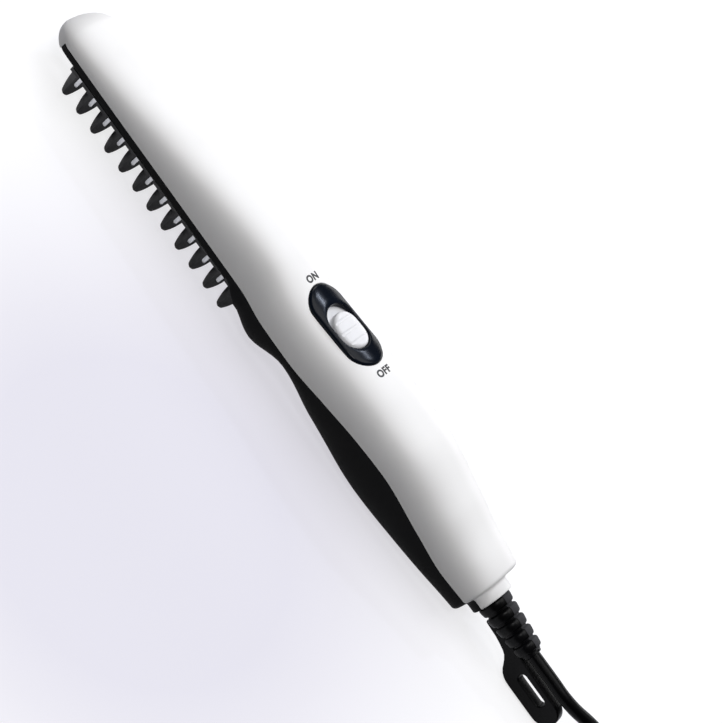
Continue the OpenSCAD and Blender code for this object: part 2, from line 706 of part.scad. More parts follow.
// A smooth curve through hand-set points, a few steps between each two
function bend(a, b, c, d, t) =
    0.5 * (2 * b + (c - a) * t + (2 * a - 5 * b + 4 * c - d) * t * t + (3 * b - a - 3 * c + d) * t * t * t);
function smooth(p, steps) = let (n = len(p)) concat(
    [for (i = [0 : n - 2], k = [0 : steps - 1])
        bend(
            i == 0 ? 2 * p[0] - p[1] : p[i - 1], p[i], p[i + 1],
            i == n - 2 ? 2 * p[n - 1] - p[n - 2] : p[i + 2], k / steps
        )],
    [p[n - 1]]
);

// The leads run inside the housing, from the cord's end to the switch and the heater
lead_r = 0.9;
butt = 0.15;
entry_x = clamp_x - 5;
function crown_point(x, y, z) = [
    switch_x + x * cos(switch_tilt) - z * sin(switch_tilt), y,
    top_z(switch_x) + x * sin(switch_tilt) + z * cos(switch_tilt)
];
pin_z = board_top - board_t - 1.7;
live_pin = crown_point(cap_x - slide_travel / 2 + 5.4 + butt, 0, pin_z);
switched_pin = crown_point(cap_x - slide_travel / 2 - 5.4 - 2 * butt, 0, pin_z);
module live_lead() color("#7a4a2a") placed() {
    tube(smooth([
        [entry_x - butt, 1.1, axis_h], [entry_x - 2, 1.2, axis_h], [entry_x - 6, 4.6, axis_h + 0.8],
        [entry_x - 11, 6.9, axis_h + 2], [palm_x + 4, 7.4, seam_h + 6], [palm_x - 12, 7.2, seam_h + 6],
        [neck_x + 24, 4, live_pin[2] - 1.4], live_pin + [6, 0, -0.3], live_pin + [3, 0, 0], live_pin
    ], 3), lead_r, 6);
}

module neutral_lead() color("#2f5f9a") placed() {
    tube(smooth([
        [entry_x - butt, -1.1, axis_h], [entry_x - 2, -1.2, axis_h], [entry_x - 6, -4.6, axis_h],
        [entry_x - 11, -6.9, axis_h + 0.2], [palm_x + 4, -7.4, seam_h + 1], [palm_x - 12, -7.4, seam_h],
        [neck_x + 12, -7.2, seam_h - 1.6], [belly_x + 6, -7, seam_h - 1], [guard_x1 + 7, -6.4, seam_h + 1.6],
        [guard_x1 + 2, -4.6, lug_z + 0.3], [lug_x + 1.6, -3.4, lug_z], [lug_x + butt, -3.4, lug_z]
    ], 3), lead_r, 6);
}

module switched_lead() color("#b03a34") placed() {
    tube(smooth([
        switched_pin, switched_pin + [-2, 0, 0], switched_pin + [-7, 3.2, -1.4],
        [belly_x + 2, 7, seam_h + 0.1],
        [guard_x1 + 6, 7.4, seam_h + 2.2], [comb_end - 1, 5, fuse_z], [fuse_x + 20, 2.4, fuse_z],
        [fuse_x + 18, 2, fuse_z], [fuse_x + 16 + butt, 2, fuse_z]
    ], 3), lead_r, 6);
}

module housing_screws() color("silver") placed() {
    for (x = housing_screw_xs)
        translate([x, 0, screw_seat(x) - touch]) rotate([180, 0, 0])
            pan_screw(screw_r - 0.15, 12, head_r, 1.8);
}

// The cord's jacket is held on a rib by a screwed bar, and passes through the boot
module cord_clamp() color("#26262a") placed() {
    difference() {
        translate([clamp_x - 2.5, -9.4, axis_h + 0.5]) cube([5, 18.8, cord_d / 2 + 1.4]);
        translate([clamp_x - 5, 0, axis_h]) rotate([0, 90, 0]) cylinder(r = cord_d / 2 + touch, h = 10);
        translate([clamp_x - 5, -cord_d / 2 - touch, axis_h - 1]) cube([10, cord_d + 2 * touch, 1.5]);
        for (s = [-1, 1])
            translate([clamp_x, s * clamp_y, axis_h - 1]) cylinder(r = 1.3, h = 8);
    }
}

module clamp_screws() color("silver") placed() {
    for (s = [-1, 1])
        translate([clamp_x, s * clamp_y, axis_h + cord_d / 2 + 1.9 + touch]) pan_screw(0.85, 7, 2.1, 1.3);
}

module cord_entry() color("#131315") placed() {
    translate([entry_x, 0, axis_h]) rotate([0, 90, 0]) cylinder(r = cord_d / 2, h = exit_x - entry_x);
}

// Cord boot: a flange behind the end wall, a neck through the collar and tapering ribs, with the
// hang loop moulded on its underside
rib_pitch = boot_len / boot_ribs;
groove = 0.7;
module boot_body() {
    rotate([0, 90, 0]) {
        translate([0, 0, -collar_len - wall - 1.9]) cylinder(r = boot_neck_r + 1.8, h = 1.8);
        translate([0, 0, -collar_len - wall - 0.2]) cylinder(r = boot_neck_r, h = collar_len + wall + 0.3);
        translate([0, 0, touch]) cylinder(r1 = boot_r - 1.2, r2 = boot_end_r - 1.1, h = boot_len - touch);
        for (k = [0 : boot_ribs - 1]) {
            r0 = boot_r + (boot_end_r - boot_r) * k / boot_ribs;
            r1 = boot_r + (boot_end_r - boot_r) * (k + 0.8) / boot_ribs;
            translate([0, 0, touch + k * rib_pitch]) {
                cylinder(r1 = r0 - 0.3, r2 = r0, h = 0.31);
                translate([0, 0, 0.3]) cylinder(r1 = r0, r2 = r1, h = rib_pitch - groove - 0.6);
                translate([0, 0, rib_pitch - groove - 0.31]) cylinder(r1 = r1, r2 = r1 - 0.3, h = 0.31);
            }
        }
    }
}

loop_top = 3.9;
loop_h = 10.6;
eye_h = 4.8;
eye_len = 12.8;
eye_rise = 0.4;
module loop_plate() {
    x0 = loop_x0 - collar_x;
    rotate([90, 0, 0]) translate([0, 0, -loop_t / 2]) linear_extrude(loop_t) difference() {
        union() {
            translate([rib_pitch + 0.4, -loop_top - 2]) square([x0, 2.6]);
            polygon([
                [x0 - 11, -loop_top - 2.1], [x0 - 6, -loop_top - 3.1], [x0 - 2, -loop_top - 5.9],
                [x0 + 1.2, -loop_top - 9.2], [x0 + 5.1, -loop_top - loop_h], [x0 + 6, -loop_top - 1]
            ]);
            translate([x0 + loop_len / 2, -loop_top - loop_h / 2]) slot_shape(loop_len, loop_h);
        }
        translate([x0 + 5.2 + eye_len / 2, eye_rise - loop_top - loop_h / 2]) slot_shape(eye_len, eye_h);
    }
}

module strain_relief() color("#151517") placed() translate([collar_x, 0, axis_h]) difference() {
    union() {
        boot_body();
        rotate([-loop_turn, 0, 0]) loop_plate();
    }
    translate([-30, 0, 0]) rotate([0, 90, 0]) cylinder(r = cord_d / 2 + touch, h = 30 + boot_len + 1);
    translate([boot_len, 0, 0]) rotate([0, 90, 0]) cylinder(r = cord_d / 2 + 0.6, h = 40);
}

// Free cord: out of the boot, aside past the hang loop, down to the surface and into the hank.
// Places are from the boot's end along x, from the middle plane along y, over the surface along z
cord_r = cord_d / 2;
hank_x0 = exit_x + 68 + 5;
hank_y = -5;
run_points = [
    [0, 0, axis_h], [6, 0, axis_h], [12, 0, axis_h], [18, 0.1, axis_h - 0.2], [24, 1.5, axis_h - 0.9],
    [30, 4.6, axis_h - 2.4], [36, 8.2, axis_h - 4.9], [42, 11.6, axis_h - 8], [48, 14, axis_h - 10.8],
    [53, 14.9, cord_r + 0.8], [58, 14.9, cord_r + 0.1], [63, 14.9, cord_r], [68, 14.9, cord_r]
];
module cord_run() color("#121214") placed() {
    p = smooth(run_points, 3);
    tube([for (q = p) [exit_x + q[0], q[1], q[2]]], cord_r, 10);
}

// Hank: each turn is a run, a fold, a run back and a fold, spiralling in and out by one step a
// turn and climbing one layer along a run whenever the spiral turns back
fold_r = 13.5;
side_step = cord_d + 1.4;
layer_step = cord_d + 0.5;
waist_draw = 10.5;
turn_rings = 24;
function wave(t) = let (m = t % 2) m < 1 ? 1 - m : m - 1;
function hank_r(t) = fold_r + side_step * wave(t);
function hank_layer(t) = let (n = floor(t), f = t - n) n < 1 ? 0 : n - 1 + min(1, f * 4);
function hank_point(t) =
    let (q = (t % 1) * 4, side = floor(q), f = q - side, r = hank_r(t), s = side < 2 ? 1 : -1)
    let (in = r - waist_draw * pow(sin(180 * f), 2), a = 90 - 180 * f)
    let (xy = side % 2 == 0
        ? [s * hank_run * (f - 0.5), s * in]
        : [s * (hank_run / 2 + r * cos(a)), s * r * sin(a)])
    [xy[0], xy[1], cord_r + layer_step * hank_layer(t)];
hank_turns = hank_layers - 0.25;
hank_steps = hank_turns * turn_rings;
hank_mid = [hank_x0 + hank_run / 2, hank_y, 0];
hank_path = concat(
    [hank_point(0) + hank_mid - [5, 0, 0]],
    [for (k = [0 : hank_steps]) hank_point(k / turn_rings) + hank_mid],
    [hank_point(hank_turns) + hank_mid - [5, 0, 0]]
);
hank_gap = min([
    for (i = [0 : len(hank_path) - 1], j = [i + 9 : 1 : len(hank_path) - 1]) norm(hank_path[i] - hank_path[j])
]) - cord_d;
echo(hank_gap = hank_gap);
module cord_hank() color("#121214") placed() tube(hank_path, cord_r, 6);

// Tail: round the near fold, up on the hank and into the plug that lies on it
hank_top = 2 * cord_r + layer_step * (hank_layers - 1);
hank_end = hank_path[len(hank_path) - 1];
plug_h = 13;
plug_axis = hank_top + 0.3 + plug_h / 2;
plug_x = hank_x0 + 44;
plug_y = hank_end[1] + 17;
tail_points = [
    [0, 0, 0], [-3, 0, 0], [-9, 2, 0.8], [-13.4, 7, 2.2], [-14.8, 13, 3.4], [-13, 19, 4.6],
    [-8.4, 23, 5.8], [-2, 24.6, 6.9], [5, 23.6, 7.8], [12, 20.8, 8.5], [19, 18.3, 9], [26, 17.1, 9.1]
];
module cord_tail() color("#121214") placed() {
    rise = (plug_axis - hank_end[2]) / 9.1;
    run = [for (q = tail_points) [hank_end[0] + q[0], hank_end[1] + q[1], hank_end[2] + q[2] * rise]];
    y = plug_y;
    tube(concat([hank_end], smooth(concat([for (k = [1 : 11]) run[k]], [
        [plug_x - 8, y, plug_axis], [plug_x - 4, y, plug_axis], [plug_x, y, plug_axis]
    ]), 2)), cord_r, 10);
}

// A soft band holds the hank at its waist
tie_w = 11;
tie_t = 1.1;
tie_x = hank_x0 + hank_run / 2 - tie_w / 2;
tie_y0 = -(fold_r + 0.75 * side_step - waist_draw) - cord_r - 0.35;
tie_y1 = fold_r + side_step - waist_draw + cord_r + 0.35;
module hank_tie() color("#1a1a1c") placed() translate([tie_x, hank_y, 0]) difference() {
    translate([0, tie_y0 - tie_t, 0]) cube([tie_w, tie_y1 - tie_y0 + 2 * tie_t, hank_top + 0.2 + tie_t]);
    translate([-1, tie_y0, -1]) cube([tie_w + 2, tie_y1 - tie_y0, hank_top + 1.15]);
}

// Flat two-blade plug, its cord end towards the far fold
plug_len = 25;
plug_w = 22;
plug_tail = 15;
module plug_body() color("#141416") placed()
    translate([plug_x, plug_y, plug_axis]) rotate([0, 90, 0]) difference() {
    union() {
        hull() {
            translate([0, 0, plug_tail]) linear_extrude(1) square([plug_h - 4, plug_w - 6], center = true);
            translate([0, 0, plug_tail + 4]) linear_extrude(plug_len - 5)
                square([plug_h - 2, plug_w], center = true);
            translate([0, 0, plug_tail + 4]) linear_extrude(plug_len - 5)
                square([plug_h, plug_w - 2], center = true);
            translate([0, 0, plug_tail + plug_len - 1]) linear_extrude(1)
                square([plug_h - 2, plug_w - 2], center = true);
        }
        cylinder(r1 = cord_r + 1, r2 = cord_r + 2.2, h = plug_tail + 0.5);
        for (k = [0 : 2])
            translate([0, 0, 2 + k * 4]) cylinder(r = cord_r + 1.7 + 0.4 * k, h = 2.4);
    }
    for (s = [-1, 1])
        translate([-3.3, s * 6.35 - 0.85, plug_tail + plug_len - 6]) cube([6.6, 1.7, 8]);
}

module plug_pins() color("#c9ccd1") placed() translate([plug_x, plug_y, plug_axis]) rotate([0, 90, 0]) {
    for (s = [-1, 1])
        translate([0, s * 6.35 - 0.75, plug_tail + plug_len - 5.95]) rotate([-90, 0, 0])
            linear_extrude(1.5) difference() {
            translate([-3.175, -22]) square([6.35, 22]);
            translate([0, -19]) circle(r = 1.5);
        }
}

top_shell();
bottom_shell();
comb_guard();
heater_plate();
heater_film();
heater_electrodes();
ptc_elements();
heater_clamp();
heater_screws();
heat_shield();
thermal_fuse();
switch_bezel();
slide_knob();
switch_actuator();
switch_body();
switch_terminals();
switch_board();
board_screws();
live_lead();
switched_lead();
neutral_lead();
housing_screws();
cord_clamp();
clamp_screws();
cord_entry();
strain_relief();
cord_run();
cord_hank();
cord_tail();
hank_tie();
plug_body();
plug_pins();
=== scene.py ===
"""Looks of a corded beard straightener: a heated comb wand with a slide switch and a hang loop.

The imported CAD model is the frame. Sizes are in millimetres and distances along the wand are
measured from its nose, as on a drawing; `at()` turns them into metres in the model's own frame.
"""

from __future__ import annotations

import logging
import math
from contextlib import contextmanager
from dataclasses import dataclass
from enum import Enum
from functools import cache
from typing import Callable, Iterable, Iterator, Mapping, Sequence

import bmesh
import bpy
from mathutils import Matrix, Vector


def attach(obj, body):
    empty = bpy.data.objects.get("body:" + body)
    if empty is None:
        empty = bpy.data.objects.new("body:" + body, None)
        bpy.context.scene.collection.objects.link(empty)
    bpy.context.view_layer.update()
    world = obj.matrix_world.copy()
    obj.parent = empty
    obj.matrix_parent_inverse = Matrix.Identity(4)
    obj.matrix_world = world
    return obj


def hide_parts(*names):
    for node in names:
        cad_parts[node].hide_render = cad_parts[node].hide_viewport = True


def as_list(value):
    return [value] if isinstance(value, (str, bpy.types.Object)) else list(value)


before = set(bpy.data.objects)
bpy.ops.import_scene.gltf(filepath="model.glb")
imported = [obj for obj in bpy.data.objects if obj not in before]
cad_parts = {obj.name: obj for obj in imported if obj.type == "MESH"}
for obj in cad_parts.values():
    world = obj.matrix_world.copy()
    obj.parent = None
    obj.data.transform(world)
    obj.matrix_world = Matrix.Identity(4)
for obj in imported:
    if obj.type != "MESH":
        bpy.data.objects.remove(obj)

LOG = logging.getLogger("comb_wand")
MM = 0.001
HALF_LENGTH = 141.1
PHOTO_WIDTH = 722
SENSOR = 36.0
PATTERN_SPAN = (0.3, 0.7)  # where nearly all of a noise pattern's values lie
DRIFT_SIZE = 18.0  # size of the soft clouds in a moulding's colour, in mm

Point = tuple[float, float]
Triple = tuple[float, float, float]
Place = Callable[[int, int], Vector]
Height = Callable[[float], float]
Step = tuple[list[Point], Height]
Piece = bpy.types.Object
Socket = bpy.types.NodeSocket
Tree = bpy.types.NodeTree


def at(x: float, y: float, z: float) -> Vector:
    """Returns the model's point for a place in mm, with x measured from the nose."""
    return Vector((x - HALF_LENGTH, y, z)) * MM


def arc(x: float, y: float, radius: float, angles: Iterable[float]) -> list[Point]:
    """Returns points of a circle at angles in degrees."""
    turns = [math.radians(angle) for angle in angles]
    return [(x + radius * math.cos(turn), y + radius * math.sin(turn)) for turn in turns]


class Body(Enum):
    """The two bodies that pieces ride on."""

    HOUSING = "housing"
    SLIDER = "slider"


class Slot(Enum):
    """The record's material slots, one of which is passed with each modelled piece."""

    SHELL = "white_plastic"
    LOWER = "black_plastic"
    COMB = "guard_plastic"
    HEATER = "aluminium"
    BEZEL = "gloss_black"
    KNOB = "knob_white"
    BOOT = "boot_rubber"
    CORD = "cord_black"
    TIE = "tie_black"
    PLUG = "plug_black"


# ---------------------------------------------------------------- materials


def srgb(code: str) -> tuple[float, float, float, float]:
    """Turns an sRGB hex colour into linear RGBA.

    Args:
        code: Six hex digits after a hash sign.

    Returns:
        The linear colour, opaque.
    """
    parts = [int(code[k : k + 2], 16) / 255 for k in (1, 3, 5)]
    r, g, b = (p / 12.92 if p <= 0.04045 else ((p + 0.055) / 1.055) ** 2.4 for p in parts)
    return (r, g, b, 1.0)


def add_node(
    tree: Tree,
    kind: str,
    values: Mapping[str | int, object] | None = None,
    links: Mapping[str | int, Socket] | None = None,
    **settings: object,
) -> bpy.types.Node:
    """Adds one node with its settings, socket values and incoming links.

    Args:
        tree: The node tree.
        kind: Blender's node type.
        values: Socket values by socket name or number.
        links: Source sockets by socket name or number.
        **settings: Attributes of the node.

    Returns:
        The new node.
    """
    node = tree.nodes.new(kind)
    for key, value in settings.items():
        setattr(node, key, value)
    for key, value in (values or {}).items():
        node.inputs[key].default_value = value
    for key, source in (links or {}).items():
        tree.links.new(source, node.inputs[key])
    return node


def new_tree(name: str) -> tuple[bpy.types.Material, Tree]:
    """Starts a material with an empty node tree.

    Args:
        name: The material's name.

    Returns:
        The material and its tree.
    """
    material = bpy.data.materials.new(name)
    material.use_nodes = True
    material.node_tree.nodes.clear()
    return material, material.node_tree


def ramp(tree: Tree, source: Socket, low: str, high: str) -> Socket:
    """Colours a pattern from low to high over the middle of its range.

    Args:
        tree: The material's tree.
        source: The pattern.
        low: Colour where the pattern is low, as sRGB hex.
        high: Colour where it is high.

    Returns:
        The colour.
    """
    node = add_node(tree, "ShaderNodeValToRGB", links={"Fac": source})
    for stop, place, code in zip(node.color_ramp.elements, PATTERN_SPAN, (low, high)):
        stop.position, stop.color = place, srgb(code)
    return node.outputs["Color"]


@dataclass(frozen=True)
class Finish:
    """What every finish has: a name, two colours that it drifts between, and its roughness."""

    name: str
    colour: str
    drift: str
    roughness: float

    def material(self) -> bpy.types.Material:
        """Builds the material, which each kind of finish does in its own way."""
        raise NotImplementedError

    def shade(
        self,
        tree: Tree,
        tint: Socket,
        height: Socket,
        bump: Point,
        spread: Point | None,
        **values: object,
    ) -> None:
        """Adds the bump, the shader and the output.

        Args:
            tree: The material's tree.
            tint: Pattern that the colour drifts with.
            height: Pattern of the bump and of the roughness.
            bump: The bump's strength, and its depth in mm.
            spread: How far the roughness reaches below and above its value, or None.
            **values: The shader's other sockets, with _ for each space in a name.
        """
        relief = {"Strength": bump[0], "Distance": bump[1] * MM}
        raised = add_node(tree, "ShaderNodeBump", relief, {"Height": height}).outputs["Normal"]
        links = {"Base Color": ramp(tree, tint, self.colour, self.drift), "Normal": raised}
        sockets = {name.replace("_", " "): value for name, value in values.items()}
        if spread:
            limits = dict(zip(("From Min", "From Max"), PATTERN_SPAN))
            limits |= {"To Min": self.roughness - spread[0], "To Max": self.roughness + spread[1]}
            worn = add_node(tree, "ShaderNodeMapRange", limits, {"Value": height})
            links["Roughness"] = worn.outputs["Result"]
        else:
            sockets["Roughness"] = self.roughness
        shader = add_node(tree, "ShaderNodeBsdfPrincipled", sockets, links)
        add_node(tree, "ShaderNodeOutputMaterial", links={"Surface": shader.outputs["BSDF"]})


@dataclass(frozen=True)
class Moulded(Finish):
    """A moulded plastic or rubber: its colour drifts a little and its skin copies the tool's grain.

    The grain is the spark-eroded texture of the mould. On the real surface it is under 0.1 mm,
    too fine to show, so it is drawn 0.25 to 0.8 mm across, and up to 0.04 mm deep. A polished
    mould leaves almost none.
    """

    roughness_range: float = 0.06
    grain: float = 0.35
    depth: float = 0.012
    specular: float = 0.5
    coat: float = 0.0

    def material(self) -> bpy.types.Material:
        """Builds the material.

        Returns:
            The material, named for the finish.
        """
        made, tree = new_tree(self.name)
        place = {"Vector": add_node(tree, "ShaderNodeTexCoord").outputs["Object"]}
        cloud = add_node(tree, "ShaderNodeTexNoise", {"Scale": 1000 / DRIFT_SIZE, "Detail": 2.0}, place)
        fine = {"Scale": 1000 / self.grain, "Detail": 3.0, "Roughness": 0.6}
        grain = add_node(tree, "ShaderNodeTexNoise", fine, place).outputs["Fac"]
        half = self.roughness_range / 2
        gloss = {"Specular_IOR_Level": self.specular, "Coat_Weight": self.coat, "Coat_Roughness": 0.05}
        self.shade(tree, cloud.outputs["Fac"], grain, (0.6, self.depth), (half, half), **gloss)
        return made


@dataclass(frozen=True)
class Metal(Finish):
    """A bare or plated metal, with fine lines along one axis where it was brushed or rolled.

    The real lines are some hundredths of a millimetre wide; they are drawn 0.25 mm wide to show.
    """

    line: float = 0.25
    stretch: float = 30.0
    depth: float = 0.004

    def material(self) -> bpy.types.Material:
        """Builds the material.

        Returns:
            The material, named for the finish.
        """
        made, tree = new_tree(self.name)
        place = add_node(tree, "ShaderNodeTexCoord").outputs["Object"]
        drawn = {"Scale": (1 / self.stretch, 1.0, 1.0)}
        along = add_node(tree, "ShaderNodeMapping", drawn, {"Vector": place}).outputs["Vector"]
        fine = {"Scale": 1000 / self.line, "Detail": 4.0}
        lines = add_node(tree, "ShaderNodeTexNoise", fine, {"Vector": along}).outputs["Fac"]
        self.shade(tree, lines, lines, (0.5, self.depth), (0.06, 0.08), Metallic=1.0)
        return made


@dataclass(frozen=True)
class Mineral(Finish):
    """A mineral or laminate sheet: its flakes, grains or fibres show as patches, sized in mm."""

    patch: float = 1.2

    def material(self) -> bpy.types.Material:
        """Builds the material.

        Returns:
            The material, named for the finish.
        """
        made, tree = new_tree(self.name)
        place = add_node(tree, "ShaderNodeTexCoord").outputs["Object"]
        flakes = add_node(tree, "ShaderNodeTexVoronoi", {"Scale": 1000 / self.patch}, {"Vector": place})
        split = add_node(tree, "ShaderNodeSeparateColor", links={"Color": flakes.outputs["Color"]})
        self.shade(tree, split.outputs["Red"], split.outputs["Red"], (0.4, 0.02), None, IOR=1.55)
        return made


# Satin ABS from a lightly eroded mould: white, with a soft broad sheen and no sharp reflection
WHITE_ABS = Moulded("satin_white_abs", "#F1F0F0", "#F5F4F4", 0.46, grain=0.45, depth=0.006)
# Black ABS of the lower half: deep black, a soft sheen
BLACK_ABS = Moulded("satin_black_abs", "#060607", "#09090A", 0.42, grain=0.4, depth=0.01, specular=0.06)
# Glass-filled nylon of the comb guard: black, a little greyer where the light grazes it
COMB_NYLON = Moulded("black_glass_filled_nylon", "#0F0F11", "#151518", 0.3, grain=0.5, specular=0.4)
# Polished ABS of the bezel: near black with a cold blue cast, its reflections a little blurred
GLOSS_ABS = Moulded(
    "polished_black_abs", "#080C14", "#0B111B", 0.19, roughness_range=0.03, depth=0.002, specular=0.13
)
# ABS of the slider: a hair greyer than the shell and smoother, so its grooves read
KNOB_ABS = Moulded("white_slider_abs", "#E6E6E9", "#ECECEF", 0.4, grain=0.3, depth=0.006)
# Soft PVC of the boot: black, with a dull glint on each rib
BOOT_PVC = Moulded("matte_boot_pvc", "#060607", "#0A0A0C", 0.3, grain=0.3, depth=0.02, specular=0.12)
# The boot's upper far side: a matte eroded skin, and its grey is painted light, lighter where the lamps
# fall on it than the black near side
BOOT_LIT_SIDE_PVC = Moulded("eroded_boot_pvc_painted_lit_side", "#2A2A2D", "#343437", 0.72, depth=0.04, specular=0.3)
# Extruded PVC jacket: drawn smooth, so it carries a thin line of light
JACKET_PVC = Moulded(
    "extruded_cord_pvc", "#060607", "#0A0A0B", 0.3, grain=0.8, depth=0.008, specular=0.1
)
# Silicone of the tie: black and dull, its edges a soft grey
TIE_RUBBER = Moulded("silicone_tie", "#131315", "#1A1A1D", 0.6, grain=0.4, depth=0.02)
# PVC moulded round the plug: black, half matte
PLUG_PVC = Moulded("moulded_plug_pvc", "#0E0E10", "#141417", 0.5, depth=0.02)
# Pad-printed ink of ON and OFF: a flat dark grey
INK = Moulded("pad_printed_ink", "#2E2E31", "#3A3A3D", 0.55, grain=0.25, depth=0.004)
# Switch body, a grey housing with a plain sheen, and its slippery off-white plunger
SWITCH_PBT = Moulded("grey_switch_pbt", "#2C2E32", "#36383D", 0.5)
PLUNGER_POM = Moulded("plunger_acetal", "#E6E6E4", "#EDEDEB", 0.35)
# Insulation of the inner wires: brown live, red switched and blue neutral, all softly glossy
LIVE_PVC = Moulded("brown_lead_pvc", "#6B3F22", "#764729", 0.42)
SWITCHED_PVC = Moulded("red_lead_pvc", "#A5302B", "#B03832", 0.42)
NEUTRAL_PVC = Moulded("blue_lead_pvc", "#2A578F", "#31619C", 0.42)
# Heater film: amber, glossy
FILM = Moulded("polyimide_film", "#A8671E", "#B97726", 0.22, coat=0.3)
# Die-cast aluminium, blasted, then rubbed along the comb: a pale dull silver
ALUMINIUM = Metal("rubbed_cast_aluminium", "#D6D7DA", "#E4E5E8", 0.36)
# Contacts: stamped brass, warm yellow with rolling lines
BRASS = Metal("stamped_brass", "#C9A45A", "#D6B56C", 0.32)
# Zinc-plated steel, bluish grey: rolled sheet with lines, and turned screws without
SHEET_STEEL = Metal("zinc_plated_sheet", "#B4B8BC", "#C6CACE", 0.34)
SCREW_STEEL = Metal("zinc_plated_screw", "#A9ACB1", "#C2C5CA", 0.3, stretch=1.0)
# The fuse's tinned can, a warm grey, and the plug's nickel-plated blades, brighter and smoother
FUSE_CAN = Metal("tinned_fuse_can", "#C4C0B2", "#D2CFC2", 0.3)
PIN_PLATE = Metal("nickel_plated_brass", "#C8C7C4", "#DAD9D6", 0.24)
# Pressed mica: straw coloured flakes; heater stones: grey and dull; board: green glass epoxy
MICA = Mineral("pressed_mica", "#B9A788", "#CDBD9F", 0.5)
CERAMIC = Mineral("barium_titanate_stone", "#6C6A63", "#7C7A72", 0.75, patch=0.4)
BOARD = Mineral("glass_epoxy_board", "#27613B", "#2F6D44", 0.45, patch=0.7)

NODE_FINISHES: dict[str, Finish] = {
    "heater_film": FILM,
    "heater_electrodes": BRASS,
    "ptc_elements": CERAMIC,
    "heater_clamp": SHEET_STEEL,
    "heater_screws": SCREW_STEEL,
    "heat_shield": MICA,
    "thermal_fuse": FUSE_CAN,
    "switch_actuator": PLUNGER_POM,
    "switch_body": SWITCH_PBT,
    "switch_terminals": BRASS,
    "switch_board": BOARD,
    "board_screws": SCREW_STEEL,
    "live_lead": LIVE_PVC,
    "switched_lead": SWITCHED_PVC,
    "neutral_lead": NEUTRAL_PVC,
    "housing_screws": SCREW_STEEL,
    "cord_clamp": BLACK_ABS,
    "clamp_screws": SCREW_STEEL,
    "cord_entry": JACKET_PVC,
    "plug_pins": PIN_PLATE,
}


@cache
def material_of(finish: Finish) -> bpy.types.Material:
    """Returns the finish's material, made once."""
    return finish.material()


def dress(piece: Piece, *finishes: Finish) -> None:
    """Gives a piece the finishes as its material slots, in order.

    Args:
        piece: The object.
        *finishes: Its finishes.
    """
    piece.data.materials.clear()
    for finish in finishes:
        piece.data.materials.append(material_of(finish))


def dress_node(name: str, finish: Finish) -> None:
    """Gives a CAD node one finish in every slot it has.

    Args:
        name: The node's name.
        finish: The finish.
    """
    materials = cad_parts[name].data.materials
    if not materials:
        materials.append(material_of(finish))
    for slot in range(len(materials)):
        materials[slot] = material_of(finish)


# ---------------------------------------------------------------- the modelling bench


class Shaping(Enum):
    """What a tool body does to a body: it is cut out of it, merged into it, or crossed with it."""

    CUT = "DIFFERENCE"
    MERGE = "UNION"
    CROSS = "INTERSECT"


